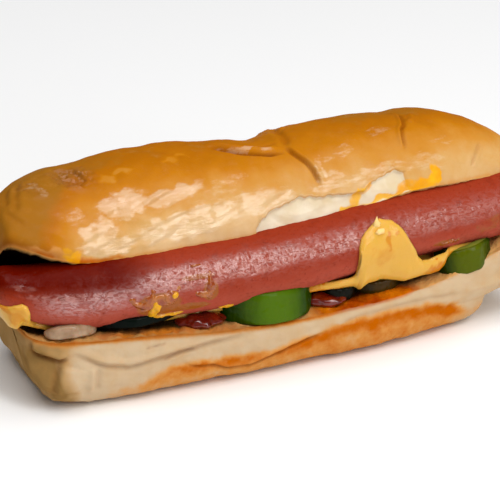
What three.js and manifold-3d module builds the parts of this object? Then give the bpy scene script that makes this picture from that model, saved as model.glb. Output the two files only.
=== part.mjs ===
// A hot dog: a side-cut bun that is open about its uncut back edge, with a sausage, a slice of melted
// cheese, pepper slices, a piece of onion and two dabs of ketchup. Millimetres, +X along the bun from
// its left end to its right one, +Y from the open front to the uncut back, +Z up. The origin is at the
// middle of the whole outline, on the surface that the bun stands on.

import * as THREE from 'three';
import { mergeVertices } from 'three/addons/utils/BufferGeometryUtils.js';
import Module from 'manifold-3d';

// ---------- driving dimensions ----------

const CLEARANCE = 0.35; // between any two neighbouring pieces

const BACK_BOW = 5.0; // how far the filling bows back at BOW_HALF_LENGTH from BOW_MIDDLE
const BOW_MIDDLE = -4.0;
const BOW_HALF_LENGTH = 70.0;

const SAUSAGE = {
  left: -86.0,
  right: 86.5,
  radius: 9.8,
  y: -18.0,
  z: 30.1,
  tipLength: [6.0, 14.0],
  tipPower: 2.2,
  neckShare: 0.3,
  neckFrom: -62.0,
  neckLength: 22.0,
  leftRise: 4.4,
  leftRiseFrom: -58.0,
  leftRiseLength: 27.0,
  rightRise: 3.3,
  rightRiseFrom: -22.0,
  rightRiseLength: 66.0,
};

// The uncut back edge that both halves of the bun share
const HINGE = { y: 20.6, topZ: 18.4, bottomZ: 21.6 };

// The front edge of the upper half, which lifts over the sausage's left tip and to the right
const TOP_LIP = {
  y: -18.9,
  bowShare: 0.35,
  z: 39.3,
  leftRise: 10.5,
  leftRiseFrom: -54.0,
  leftRiseLength: 27.0,
  rightRise: 5.0,
  rightRiseFrom: 4.0,
  rightRiseLength: 38.0,
};

// The front edge of the lower half, which is lowest in the middle
const BOTTOM_LIP = {
  y: -26.9,
  bowShare: 0.3,
  z: 15.4,
  leftRise: 4.8,
  leftRiseFrom: -5.0,
  leftRiseLength: 62.0,
  tipRise: 3.0,
  tipRiseFrom: -70.0,
  tipRiseLength: 12.0,
  rightRise: 9.0,
  rightRiseFrom: 6.0,
  rightRiseLength: 62.0,
  rightRiseLimit: 1.08,
  rightRisePower: 2.6,
};

const TOP_HALF = {
  left: -81.5,
  right: 83.5,
  planPower: [10.0, 4.0],
  crownPower: [4.6, 3.0],
  stationPower: 5.0,
  outlinePower: 2.3,
  bulge: 2.2,
  curl: 0.2,
};

// Height of the crown over the cut: thicker left of the middle, with a shallow waist between the lobes
const CROWN = {
  height: 30.0,
  lobes: [
    { x: -81.0, width: 10.0, rise: -3.4 },
    { x: -63.0, width: 9.0, rise: 1.2 },
    { x: -36.0, width: 20.0, rise: 2.4 },
    { x: 0.0, width: 6.0, rise: -1.3 },
    { x: 17.0, width: 12.0, rise: 1.0 },
  ],
};

const BOTTOM_HALF = {
  left: -78.5,
  right: 79.5,
  planPower: [6.0, 5.5],
  crownPower: [14.0, 14.0],
  stationPower: 8.0,
  outlinePower: 5.0,
  depth: 20.0,
  bulge: 1.3,
  curl: 0.12,
};

// The lower block of the bottom half, which is shorter than the rim above it
const BLOCK = {
  left: -74.5,
  right: 64.0,
  height: [6.0, 8.2],
  rimHeight: [17.0, 12.5],
  roundPower: [2.0, 1.05],
  planPower: 12.0,
  planFrom: 0.25,
  planOver: 0.5,
  shortFrom: 0.25,
  shortOver: 0.625,
  overdepth: 1.04,
  inset: 1.1,
  insetFrom: 10.0,
  insetLength: 45.0,
  insetReach: 20.0,
};

const CHEESE = {
  left: -85.0,
  right: 63.5,
  thickness: 1.5,
  edge: 0.5,
  pressDepth: 0.8,
  gap: 0.28,
  standOff: 0.55,
  backAngle: 318.0,
  edgeAngle: 234.0,
  hiddenEdgeAngle: 258.0,
  hiddenFrom: -62.0,
  hiddenFromLength: 8.0,
  hiddenTo: -2.0,
  hiddenToLength: 6.0,
  tongueMiddle: 25.5,
  tongueTopAngle: 131.0,
  tongueWidth: [9.2, 14.6],
  tonguePower: [3.0, 1.35],
  cornerMiddle: -81.3,
  cornerWidth: 3.9,
  cornerAngle: 190.0,
  roundPower: 6.0,
};

// How far the slice hangs off the sausage under the tongue and at the left corner
const DROOP = {
  depth: 3.2,
  angle: 238.0,
  angleWidth: 22.0,
  from: 12.0,
  fromLength: 8.0,
  to: 37.0,
  toLength: 7.0,
  rightExtra: 1.8,
  rightExtraFrom: 26.0,
  rightExtraLength: 8.0,
  cornerShare: 0.6,
  cornerWidth: 4.5,
};

// Stretches of the cheese slice and how many stations each has
const CHEESE_STRETCHES = [
  [-85.0, -76.5, 8],
  [-76.5, -56.5, 5],
  [-56.5, 14.0, 6],
  [14.0, 18.0, 5],
  [18.0, 44.0, 14],
  [44.0, 63.5, 4],
];

// Each pepper slice is a stretch of a ring with its skin outside
const PEPPERS = [
  {
    name: 'pepper_slice_left',
    x: -47.0, y: -10.6, z: 21.8, radius: 15.0, wall: 4.0, height: 6.4,
    from: 200, to: 340, tilt: 9, roll: -2, color: 0x1f3a12,
  },
  {
    name: 'pepper_slice_front',
    x: -8.2, y: -11.9, z: 18.9, radius: 16.2, wall: 4.4, height: 9.4,
    from: 202, to: 328, tilt: 7, roll: -1, color: 0x3f7d14,
  },
  {
    name: 'pepper_slice_dark',
    x: 14.2, y: -17.0, z: 18.4, radius: 6.6, wall: 3.2, height: 4.0,
    from: 190, to: 340, tilt: 4, roll: 0, color: 0x1c1d10,
  },
  {
    name: 'pepper_slice_edge',
    x: 27.6, y: -12.8, z: 17.4, radius: 9.6, wall: 3.2, height: 3.8,
    from: 212, to: 335, tilt: 5, roll: -2, color: 0x4d4a12,
  },
  {
    name: 'pepper_slice_right',
    x: 54.4, y: -16.5, z: 21.4, radius: 9.6, wall: 3.8, height: 7.8,
    from: 195, to: 345, tilt: 8, roll: -4, color: 0x2f6412,
  },
];

const ONION = {
  x: -67.0, y: -15.0, z: 22.1, radius: 9.2, wall: 3.6, height: 4.8,
  from: 214, to: 338, tilt: 12, roll: 3,
};

const KETCHUPS = [
  { name: 'ketchup_left', x: -29.0, y: -19.8, z: 19.2, length: 13.0, depth: 11.6, height: 6.2 },
  { name: 'ketchup_right', x: 10.2, y: -21.0, z: 17.6, length: 11.5, depth: 9.6, height: 5.6 },
];

// How finely each surface is divided
const DETAIL = {
  bunStations: 36,
  bunOutline: 21,
  bunCut: 4,
  sausageStations: 26,
  sausageAround: 20,
  cheeseAround: 8,
  ringSteps: 9,
  ringSides: 8,
  ringPower: 3.5,
  dabAround: 14,
  dabRows: 8,
  samples: 1500,
  weld: 1e-5,
};

// The coarser copies that press their shape into the bread
const PRESS = { stations: 22, around: 14, steps: 7, sides: 8, clearance: 0.6 };

// Colour and roughness of each piece that is not a pepper slice
const FINISH = {
  sausage: [0x9a3a26, 0.3],
  cheese: [0xf0b23a, 0.4],
  onion_slice: [0xd8cfb8, 0.4],
  ketchup: [0x7a1a10, 0.2],
  bun: [0xd9973f, 0.5],
};
const PEPPER_ROUGHNESS = 0.3;

// ---------- small maths ----------

const wasm = await Module();
wasm.setup();

function clamp01(value) {
  return Math.min(Math.max(value, 0), 1);
}

function smoothStep(value) {
  const t = clamp01(value);
  return t * t * (3 - 2 * t);
}

function squareRamp(value) {
  return Math.max(value, 0) ** 2;
}

function hump(value) {
  return Math.exp(-value * value);
}

function radians(degrees) {
  return (degrees * Math.PI) / 180;
}

// Fraction of the full width that is left at place t (-1 to 1) of an outline of the given power
function taper(t, power) {
  return Math.max(1 - Math.abs(t) ** power, 0) ** (1 / power);
}

// Places from -1 to 1 that lie evenly along an outline of half length `reach` whose half width is
// widthAt(t)
function evenPlaces(count, reach, widthAt) {
  const samples = DETAIL.samples;
  const places = [-1];
  const lengths = [0];
  for (let i = 1; i <= samples; i += 1) {
    const t = -1 + (2 * i) / samples;
    const before = places[i - 1];
    const step = Math.hypot((t - before) * reach, widthAt(t) - widthAt(before));
    places.push(t);
    lengths.push(lengths[i - 1] + step);
  }
  const result = [];
  let k = 0;
  for (let i = 0; i < count; i += 1) {
    const target = (lengths[samples] * i) / (count - 1);
    while (k < samples - 1 && lengths[k + 1] < target) {
      k += 1;
    }
    const share = clamp01((target - lengths[k]) / (lengths[k + 1] - lengths[k]));
    result.push(places[k] + share * (places[k + 1] - places[k]));
  }
  return result;
}

// ---------- closed meshes from rings of points ----------

function geometryOf(points, triangles) {
  const geometry = new THREE.BufferGeometry();
  geometry.setAttribute('position', new THREE.Float32BufferAttribute(points.flat(), 3));
  geometry.setIndex(triangles.flat());
  return geometry;
}

function signedVolume(points, triangles) {
  let volume = 0;
  for (const [a, b, c] of triangles) {
    const cross = new THREE.Vector3(...points[b]).cross(new THREE.Vector3(...points[c]));
    volume += new THREE.Vector3(...points[a]).dot(cross) / 6;
  }
  return volume;
}

function facedOutwards(points, triangles) {
  if (signedVolume(points, triangles) > 0) {
    return triangles;
  }
  return triangles.map(([a, b, c]) => [a, c, b]);
}

function middleOf(ring) {
  const sum = ring.reduce((total, p) => total.map((value, k) => value + p[k]), [0, 0, 0]);
  return sum.map((value) => value / ring.length);
}

// A skin over a row of closed rings, with each end closed by a fan about a point
function fanClosed(rings, firstPoint = middleOf(rings[0]), lastPoint = middleOf(rings.at(-1))) {
  const around = rings[0].length;
  const points = rings.flat();
  const triangles = [];
  for (let i = 0; i < rings.length - 1; i += 1) {
    for (let j = 0; j < around; j += 1) {
      const next = (j + 1) % around;
      const a = i * around + j;
      const b = (i + 1) * around + j;
      const c = (i + 1) * around + next;
      const d = i * around + next;
      triangles.push([a, b, c], [a, c, d]);
    }
  }
  const first = points.length;
  const last = first + 1;
  const lastRing = (rings.length - 1) * around;
  points.push(firstPoint, lastPoint);
  for (let j = 0; j < around; j += 1) {
    const next = (j + 1) % around;
    triangles.push([first, j, next], [last, lastRing + next, lastRing + j]);
  }
  return geometryOf(points, facedOutwards(points, triangles));
}

// A skin over a row of thin rings: each is an outer path and then the inner path backwards, so that
// each end closes with a strip between the two
function stripClosed(rings) {
  const around = rings[0].length;
  const points = rings.flat();
  const triangles = [];
  for (let i = 0; i < rings.length - 1; i += 1) {
    for (let j = 0; j < around; j += 1) {
      const next = (j + 1) % around;
      const a = i * around + j;
      const b = (i + 1) * around + j;
      const c = (i + 1) * around + next;
      const d = i * around + next;
      triangles.push([a, b, c], [a, c, d]);
    }
  }
  const lastRing = (rings.length - 1) * around;
  for (let j = 0; j < around / 2 - 1; j += 1) {
    const k = around - 1 - j;
    triangles.push([j, j + 1, k], [j + 1, k - 1, k]);
    triangles.push([lastRing + j, lastRing + k, lastRing + j + 1]);
    triangles.push([lastRing + j + 1, lastRing + k, lastRing + k - 1]);
  }
  return geometryOf(points, facedOutwards(points, triangles));
}

function solidOf(geometry) {
  const merged = mergeVertices(geometry, DETAIL.weld);
  const mesh = new wasm.Mesh({
    numProp: 3,
    vertProperties: new Float32Array(merged.attributes.position.array),
    triVerts: new Uint32Array(merged.index.array),
  });
  return new wasm.Manifold(mesh);
}

function geometryFrom(solid) {
  const mesh = solid.getMesh();
  const geometry = new THREE.BufferGeometry();
  geometry.setAttribute('position', new THREE.Float32BufferAttribute(mesh.vertProperties, 3));
  geometry.setIndex(Array.from(mesh.triVerts));
  return geometry;
}

// ---------- the sausage ----------

function bowAt(x) {
  return BACK_BOW * ((x - BOW_MIDDLE) / BOW_HALF_LENGTH) ** 2;
}

// Narrower towards the left end, and then each tip rounds off over its own length
function sausageRadius(x) {
  const s = SAUSAGE;
  const neck = 1 - s.neckShare * smoothStep((s.neckFrom - x) / s.neckLength);
  const leftPast = clamp01((s.left + s.tipLength[0] - x) / s.tipLength[0]);
  const rightPast = clamp01((x - s.right + s.tipLength[1]) / s.tipLength[1]);
  return s.radius * neck * taper(leftPast, s.tipPower) * taper(rightPast, s.tipPower);
}

function sausageAxis(x) {
  const s = SAUSAGE;
  const left = s.leftRise * squareRamp((s.leftRiseFrom - x) / s.leftRiseLength);
  const right = s.rightRise * smoothStep((x - s.rightRiseFrom) / s.rightRiseLength);
  return { y: s.y + bowAt(x), z: s.z + left + right };
}

function sausageSolid(grow, stations = DETAIL.sausageStations, around = DETAIL.sausageAround) {
  const reach = (SAUSAGE.right - SAUSAGE.left) / 2;
  const middle = (SAUSAGE.right + SAUSAGE.left) / 2;
  const widthAt = (t) => sausageRadius(middle + reach * t);
  const ringAt = (t) => {
    const x = middle + (reach + grow) * t;
    const axis = sausageAxis(x);
    const radius = Math.abs(t) < 1 ? widthAt(t) + grow : 0;
    return Array.from({ length: around }, (_, j) => {
      const angle = (2 * Math.PI * j) / around;
      return [x, axis.y + radius * Math.cos(angle), axis.z + radius * Math.sin(angle)];
    });
  };
  const rings = evenPlaces(stations, reach, widthAt).slice(1, -1).map(ringAt);
  return solidOf(fanClosed(rings, ringAt(-1)[0], ringAt(1)[0]));
}

// ---------- the bun ----------

function topLip(x) {
  const l = TOP_LIP;
  const left = l.leftRise * squareRamp((l.leftRiseFrom - x) / l.leftRiseLength);
  const right = l.rightRise * smoothStep((x - l.rightRiseFrom) / l.rightRiseLength);
  return { y: l.y + l.bowShare * bowAt(x), z: l.z + left + right };
}

function bottomLip(x) {
  const l = BOTTOM_LIP;
  const left = l.leftRise * smoothStep((l.leftRiseFrom - x) / l.leftRiseLength);
  const tip = l.tipRise * squareRamp((l.tipRiseFrom - x) / l.tipRiseLength);
  const along = (x - l.rightRiseFrom) / l.rightRiseLength;
  const right = l.rightRise * Math.min(Math.max(along, 0), l.rightRiseLimit) ** l.rightRisePower;
  return { y: l.y + l.bowShare * bowAt(x), z: l.z + left + tip + right };
}

function crownHeight(x) {
  const lobes = CROWN.lobes.map((lobe) => lobe.rise * hump((x - lobe.x) / lobe.width));
  return lobes.reduce((sum, rise) => sum + rise, CROWN.height);
}

// Point of a superellipse at the polar angle, as fractions of its two half widths
function superellipse(angle, halfWidth, height, power) {
  const c = Math.cos(angle);
  const s = Math.sin(angle);
  const radius = (Math.abs(c / halfWidth) ** power + Math.abs(s / height) ** power) ** (-1 / power);
  return [radius * c, radius * s];
}

// The ring of one half at one station: the outer outline from the lip to the back edge, and then
// the flat cut face forwards to the lip again
function halfRing(half, lip, hingeZ, t, x, placePoint, height) {
  const side = t < 0 ? 0 : 1;
  const depth = taper(t, half.crownPower[side]);
  const along = [lip.y - HINGE.y, lip.z - hingeZ];
  const full = Math.hypot(...along);
  const frame = {
    middle: [(lip.y + HINGE.y) / 2, (lip.z + hingeZ) / 2],
    forward: [along[0] / full, along[1] / full],
    normal: [Math.abs(along[1]) / full, Math.abs(along[0]) / full],
  };
  const halfWidth = full / 2 + half.bulge;
  const ring = [];
  for (let j = 0; j < DETAIL.bunOutline; j += 1) {
    const angle = (Math.PI * j) / (DETAIL.bunOutline - 1);
    const [across, up] = superellipse(angle, halfWidth, height, half.outlinePower);
    const curl = 1 - (half.bulge / halfWidth) * Math.exp(-up / height / half.curl);
    ring.push(placePoint(frame, across * curl, up / height, depth, t, x, side));
  }
  for (let j = 1; j <= DETAIL.bunCut; j += 1) {
    const across = (full / 2) * (-1 + (2 * j) / (DETAIL.bunCut + 1));
    ring.push(placePoint(frame, across, 0, depth, t, x, side));
  }
  return ring;
}

function placeTop(frame, across, up, depth, t, x, side) {
  const width = across * taper(t, TOP_HALF.planPower[side]);
  const height = up * depth * crownHeight(x);
  return [
    x,
    frame.middle[0] + width * frame.forward[0] + height * frame.normal[0],
    frame.middle[1] + width * frame.forward[1] + height * frame.normal[1],
  ];
}

function placeBottom(frame, across, down, depth, t, x, side) {
  const low = smoothStep((down - BLOCK.planFrom) / BLOCK.planOver);
  const rimPower = BOTTOM_HALF.planPower[side];
  const width = across * taper(t, rimPower + (BLOCK.planPower - rimPower) * low);
  const cutZ = frame.middle[1] + width * frame.forward[1];
  const z = Math.max(cutZ * (1 - down * depth * BLOCK.overdepth), 0);
  const rise = clamp01((z - BLOCK.height[side]) / (BLOCK.rimHeight[side] - BLOCK.height[side]));
  const inBlock = 1 - taper(1 - rise, BLOCK.roundPower[side]);
  const end = side === 0 ? BLOCK.left / BOTTOM_HALF.left : BLOCK.right / BOTTOM_HALF.right;
  const shorter = inBlock * (1 - end) * smoothStep((Math.abs(t) - BLOCK.shortFrom) / BLOCK.shortOver);
  const inset = BLOCK.inset * smoothStep((x - BLOCK.insetFrom) / BLOCK.insetLength);
  const foot = inBlock * inset * clamp01(across / BLOCK.insetReach);
  return [x * (1 - shorter), frame.middle[0] + width * frame.forward[0] + foot, z];
}

function halfSolid(half, lipAt, hingeZ, heightAt, placePoint) {
  const reach = (half.right - half.left) / 2;
  const middle = (half.right + half.left) / 2;
  const widthAt = (t) => BOTTOM_HALF.depth * taper(t, half.stationPower);
  const ringAt = (t) => {
    const x = middle + reach * t;
    return halfRing(half, lipAt(x), hingeZ, t, x, placePoint, heightAt(x));
  };
  const rings = evenPlaces(DETAIL.bunStations, reach, widthAt).slice(1, -1).map(ringAt);
  return solidOf(fanClosed(rings, ringAt(-1)[0], ringAt(1)[0]));
}

function bunSolid() {
  const top = halfSolid(TOP_HALF, topLip, HINGE.topZ, crownHeight, placeTop);
  const bottom = halfSolid(BOTTOM_HALF, bottomLip, HINGE.bottomZ, () => BOTTOM_HALF.depth, placeBottom);
  return top.add(bottom);
}

// ---------- the cheese ----------

// Angle about the sausage, in degrees, at which the slice ends on the sausage's front. It is a rounded
// tongue right of the middle and a small corner at the left end.
function cheeseTopAngle(x) {
  const c = CHEESE;
  const from = smoothStep((x - c.hiddenFrom) / c.hiddenFromLength);
  const to = smoothStep((x - c.hiddenTo) / c.hiddenToLength);
  const hidden = (c.hiddenEdgeAngle - c.edgeAngle) * from * (1 - to);
  const side = x < c.tongueMiddle ? 0 : 1;
  const past = clamp01(Math.abs(x - c.tongueMiddle) / c.tongueWidth[side]);
  const tongue = (c.edgeAngle - c.tongueTopAngle) * (1 - past ** c.tonguePower[side]);
  const corner = (c.edgeAngle - c.cornerAngle) * clamp01(1 - ((x - c.cornerMiddle) / c.cornerWidth) ** 2);
  return c.edgeAngle + hidden - tongue - corner;
}

function cheeseDroop(x, angle) {
  const d = DROOP;
  const from = smoothStep((x - d.from) / d.fromLength);
  const to = smoothStep((x - d.to) / d.toLength);
  const corner = d.cornerShare * hump((x - CHEESE.cornerMiddle) / d.cornerWidth);
  const depth = d.depth + d.rightExtra * smoothStep((x - d.rightExtraFrom) / d.rightExtraLength);
  return depth * hump((angle - d.angle) / d.angleWidth) * (from * (1 - to) + corner);
}

function cheesePlaces() {
  const places = CHEESE_STRETCHES.flatMap(([from, to, steps]) =>
    Array.from({ length: steps }, (_, k) => from + ((to - from) * k) / steps),
  );
  return [...places, CHEESE.right];
}

// The grown copy reaches into the sausage, so that no pocket is left between the two
function cheeseSolid(grow) {
  const middle = (CHEESE.left + CHEESE.right) / 2;
  const rings = cheesePlaces().map((place) => {
    const x = place + (grow * (place - middle)) / (CHEESE.right - middle);
    const axis = sausageAxis(x);
    const around = sausageRadius(x);
    const top = cheeseTopAngle(x) - (grow * 180) / Math.PI / SAUSAGE.radius;
    const back = CHEESE.backAngle + (grow * 180) / Math.PI / SAUSAGE.radius;
    const outer = [];
    const inner = [];
    for (let j = 0; j < DETAIL.cheeseAround; j += 1) {
      const angle = top + ((back - top) * j) / (DETAIL.cheeseAround - 1);
      const rounding = taper(-1 + (2 * j) / (DETAIL.cheeseAround - 1), CHEESE.roundPower);
      const inside = around + CHEESE.standOff + cheeseDroop(x, angle);
      const near = grow > 0 ? around * CHEESE.pressDepth : inside;
      const far = inside + grow + CHEESE.edge + (CHEESE.thickness - CHEESE.edge) * rounding;
      const [c, s] = [Math.cos(radians(angle)), Math.sin(radians(angle))];
      outer.push([x, axis.y + far * c, axis.z + far * s]);
      inner.push([x, axis.y + near * c, axis.z + near * s]);
    }
    return [...outer, ...inner.reverse()];
  });
  return solidOf(stripClosed(rings));
}

// ---------- pepper slices, onion and ketchup ----------

// A stretch of a ring with a rounded section, tipped forwards by tilt and sideways by roll
function ringStretch(spec, grow, steps = DETAIL.ringSteps, sides = DETAIL.ringSides) {
  const rings = [];
  const middle = spec.radius - spec.wall / 2;
  const extra = (grow / middle) * (180 / Math.PI);
  const turn = new THREE.Euler(radians(-spec.tilt), radians(spec.roll), 0);
  for (let i = 0; i <= steps; i += 1) {
    const share = i / steps;
    const angle = radians(spec.from - extra + (spec.to - spec.from + 2 * extra) * share);
    const ring = [];
    for (let j = 0; j < sides; j += 1) {
      const [across, up] = superellipse(
        (2 * Math.PI * (j + 0.5)) / sides,
        spec.wall / 2 + grow,
        spec.height / 2 + grow,
        DETAIL.ringPower,
      );
      const radius = middle + across;
      const point = new THREE.Vector3(radius * Math.cos(angle), radius * Math.sin(angle), up);
      point.applyEuler(turn);
      ring.push([spec.x + point.x, spec.y + point.y, spec.z + point.z]);
    }
    rings.push(ring);
  }
  return solidOf(fanClosed(rings));
}

function ketchupSolid(spec, grow) {
  const geometry = new THREE.SphereGeometry(1, DETAIL.dabAround, DETAIL.dabRows);
  geometry.deleteAttribute('normal');
  geometry.deleteAttribute('uv');
  geometry.scale(spec.length / 2 + grow, spec.depth / 2 + grow, spec.height / 2 + grow);
  geometry.translate(spec.x, spec.y, spec.z);
  return solidOf(geometry);
}

// ---------- the object ----------

function addMesh(group, name, solid, [color, roughness]) {
  const material = new THREE.MeshStandardMaterial({ color, roughness, metalness: 0 });
  const mesh = new THREE.Mesh(geometryFrom(solid), material);
  mesh.name = name;
  group.add(mesh);
}

function cutClear(solid, grownPieces) {
  return grownPieces.reduce((left, piece) => left.subtract(piece), solid);
}

function pressOf(spec) {
  return ringStretch(spec, PRESS.clearance, PRESS.steps, PRESS.sides);
}

function buildHotDog() {
  const group = new THREE.Group();
  const sausagePress = sausageSolid(PRESS.clearance, PRESS.stations, PRESS.around);
  const overFillings = [sausagePress, cheeseSolid(CLEARANCE)];
  const slicePresses = [...PEPPERS, ONION].map(pressOf);
  addMesh(group, 'sausage', sausageSolid(0), FINISH.sausage);
  addMesh(group, 'cheese', cutClear(cheeseSolid(0), [sausageSolid(CHEESE.gap)]), FINISH.cheese);
  for (const spec of PEPPERS) {
    const slice = cutClear(ringStretch(spec, 0), overFillings);
    addMesh(group, spec.name, slice, [spec.color, PEPPER_ROUGHNESS]);
  }
  const onion = cutClear(ringStretch(ONION, 0), overFillings);
  addMesh(group, 'onion_slice', onion, FINISH.onion_slice);
  for (const spec of KETCHUPS) {
    const ketchup = cutClear(ketchupSolid(spec, 0), [...overFillings, ...slicePresses]);
    addMesh(group, spec.name, ketchup, FINISH.ketchup);
  }
  const ketchupPresses = KETCHUPS.map((spec) => ketchupSolid(spec, PRESS.clearance));
  const bun = cutClear(bunSolid(), [...overFillings, ...slicePresses, ...ketchupPresses]);
  addMesh(group, 'bun', bun, FINISH.bun);
  return group;
}

export default buildHotDog();
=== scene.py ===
"""Looks of a hot dog: a tipped-open soft bun with a sausage, melted cheese, pepper slices, onion and ketchup.

Sizes are in millimetres and colours in 8-bit sRGB; both are turned into Blender's units where they are used.
"""
import logging
import math
from collections.abc import Callable
from dataclasses import dataclass, field
from enum import Enum

import bpy
import numpy as np
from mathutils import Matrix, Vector


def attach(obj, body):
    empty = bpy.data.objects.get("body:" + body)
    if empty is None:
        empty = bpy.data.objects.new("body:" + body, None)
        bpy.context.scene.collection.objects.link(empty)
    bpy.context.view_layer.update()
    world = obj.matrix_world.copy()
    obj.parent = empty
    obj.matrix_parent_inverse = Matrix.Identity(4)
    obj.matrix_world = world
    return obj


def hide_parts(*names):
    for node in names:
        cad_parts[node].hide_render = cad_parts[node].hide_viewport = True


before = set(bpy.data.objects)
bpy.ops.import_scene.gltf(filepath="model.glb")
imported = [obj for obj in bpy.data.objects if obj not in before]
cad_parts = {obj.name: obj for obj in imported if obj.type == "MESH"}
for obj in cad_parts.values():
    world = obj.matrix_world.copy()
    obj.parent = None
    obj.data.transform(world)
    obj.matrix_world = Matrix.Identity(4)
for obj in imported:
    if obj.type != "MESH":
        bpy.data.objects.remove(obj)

LOG = logging.getLogger("hot_dog")
Array = np.ndarray
Colour = tuple[int, int, int]
MM = 0.001

# Places at which an outline is measured, and the shortest and longest wave as shares of the typical one.
FINE_STEPS = 4001
WAVELENGTHS = (0.6, 1.5)


# ---------- small maths ----------


def clamp01(value: Array) -> Array:
    """The value, kept between 0 and 1."""
    return np.clip(value, 0.0, 1.0)


def smooth_step(value: Array) -> Array:
    """0 below 0, 1 above 1, and a smooth S between: t squared times (3 - 2 t)."""
    t = clamp01(value)
    return t * t * (3.0 - 2.0 * t)


def hump(value: Array) -> Array:
    """A bell of height 1: e to the power of minus the value squared."""
    return np.exp(-np.square(value))


def taper(place: Array, power: Array | float) -> Array:
    """Share of the full width left at a place from -1 to 1: (1 - |t|^p)^(1/p)."""
    return np.maximum(1.0 - np.abs(place) ** power, 0.0) ** (1.0 / power)


def superellipse(angle: Array, half_width: Array, height: Array, power: float) -> tuple[Array, Array]:
    """A point of a superellipse at a polar angle.

    The radius is ((|cos| / half width)^p + (|sin| / height)^p)^(-1/p).

    Args:
        angle: Polar angle in radians.
        half_width: Half width along the first axis.
        height: Half height along the second axis.
        power: 2 for an ellipse, larger for a boxier outline.

    Returns:
        The distances along the two axes.
    """
    c, s = np.cos(angle), np.sin(angle)
    radius = (np.abs(c / half_width) ** power + np.abs(s / height) ** power) ** (-1.0 / power)
    return radius * c, radius * s


def even_places(count: int, reach: float, width_at: Callable[[Array], Array]) -> Array:
    """Places from -1 to 1 that lie evenly along an outline.

    Args:
        count: How many places.
        reach: Half length of the outline.
        width_at: Half width of the outline at each place.

    Returns:
        The places, at equal steps of the outline's length.
    """
    t = np.linspace(-1.0, 1.0, FINE_STEPS)
    steps = np.hypot(np.diff(t) * reach, np.diff(width_at(t)))
    along = np.concatenate([[0.0], np.cumsum(steps)])
    return np.interp(np.linspace(0.0, along[-1], count), along, t)


def waves(points: Array, size: float, seed: int, count: int = 14) -> Array:
    """Smooth unevenness: a sum of sines along random directions, about -1 to 1.

    Args:
        points: Places in millimetres, with the coordinates last.
        size: Typical wavelength in millimetres.
        seed: Seed of the directions, wavelengths and phases.
        count: How many sines are summed.

    Returns:
        One value for each point.
    """
    rng = np.random.default_rng(seed)
    total = np.zeros(points.shape[:-1])
    for _ in range(count):
        direction = rng.normal(size=points.shape[-1])
        direction /= np.linalg.norm(direction)
        turn = 2.0 * math.pi / (size * rng.uniform(*WAVELENGTHS))
        total += np.sin(points @ direction * turn + rng.uniform(0.0, 2.0 * math.pi))
    return total / math.sqrt(count)


def unevenness(points: Array, size: float, seed: int, octaves: int = 3) -> Array:
    """Waves of halving size and height, summed, about -1 to 1."""
    total = np.zeros(points.shape[:-1])
    for k in range(octaves):
        total += waves(points, size / 2.0**k, seed + k) * 0.5**k
    return total / 1.5


def ridges(points: Array, size: float, seed: int) -> Array:
    """Fine ridges, about 0 to 1: 1 minus the size of the waves."""
    return 1.0 - np.abs(waves(points, size, seed))


def ball(rings: int, around: int) -> Array:
    """A ball of radius 1 as rings from left to right: (-cos t, sin t cos turn, sin t sin turn)."""
    t = np.linspace(0.0, math.pi, rings + 2)[1:-1, None]
    turn = np.linspace(0.0, 2.0 * math.pi, around, endpoint=False)[None, :]
    outline = (-np.cos(t), np.sin(t) * np.cos(turn), np.sin(t) * np.sin(turn))
    return np.stack(np.broadcast_arrays(*outline), axis=-1)


def ring_normals(points: Array) -> Array:
    """Unit normals of a grid of closed rings: the cross product of its steps along and around."""
    along = np.gradient(points, axis=0)
    around = np.roll(points, -1, axis=1) - np.roll(points, 1, axis=1)
    normals = np.cross(along, around)
    return normals / np.maximum(np.linalg.norm(normals, axis=-1, keepdims=True), 1e-9)


def linear(colour: Colour) -> tuple[float, float, float, float]:
    """An 8-bit sRGB colour as the linear one that Blender takes."""
    share = np.array(colour) / 255.0
    low, high = share / 12.92, ((share + 0.055) / 1.055) ** 2.4
    return (*np.where(share <= 0.04045, low, high).tolist(), 1.0)


# ---------- marks on a surface ----------


# A fold's lip lies this many crease widths beside it, and a fold fades at its ends over END_FADE.
LIP_PLACE = 1.7
LIP_WIDTH = 1.3
END_FADE = 5.0
END_KEPT = 0.15

# How far an oval area reaches, in its own half sizes, and how soft its outline is.
OVAL_REACH = 1.4
OVAL_BLEND = 0.8


@dataclass(frozen=True)
class Fold:
    """A crease, with or without a swollen lip beside it, along a short line of a surface; the crease's bottom
    gets painted shade.

    Attributes:
        name: What the line is.
        path: Its points: the station x and the distance s along the outline.
        depth: How deep the crease goes; a negative one is a ridge.
        width: Half width of the crease.
        lip: Height of the swelling beside it.
        side: 1 for a lip left of the path's direction, -1 for one right of it.
        dark: How much painted shade the bottom of the crease gets.
    """

    name: str
    path: tuple[tuple[float, float], ...]
    depth: float
    width: float
    lip: float = 0.0
    side: float = 1.0
    dark: float = 0.6


@dataclass(frozen=True)
class Blot:
    """A soft oval area of a surface, at station x and distance s, with half its size along each."""

    x: float
    s: float
    half_x: float
    half_s: float
    turn: float = 0.0
    strength: float = 1.0

    def at(self, x: Array, s: Array) -> Array:
        """The strength well inside, half of it on the oval, 0 well outside."""
        c, n = math.cos(math.radians(self.turn)), math.sin(math.radians(self.turn))
        across = ((x - self.x) * c + (s - self.s) * n) / self.half_x
        up = ((s - self.s) * c - (x - self.x) * n) / self.half_s
        return self.strength * smooth_step((OVAL_REACH - np.hypot(across, up)) / OVAL_BLEND)


def blots(marks: tuple[Blot, ...], x: Array, s: Array) -> Array:
    """The strongest of several blots at each place."""
    return np.max([mark.at(x, s) for mark in marks], axis=0)


# ---------- sizes that several pieces share ----------


class RiseKind(Enum):
    """How a value climbs from its start: in a smooth S, or as a power of the distance."""

    SMOOTH = "smooth"
    POWER = "power"


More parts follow.
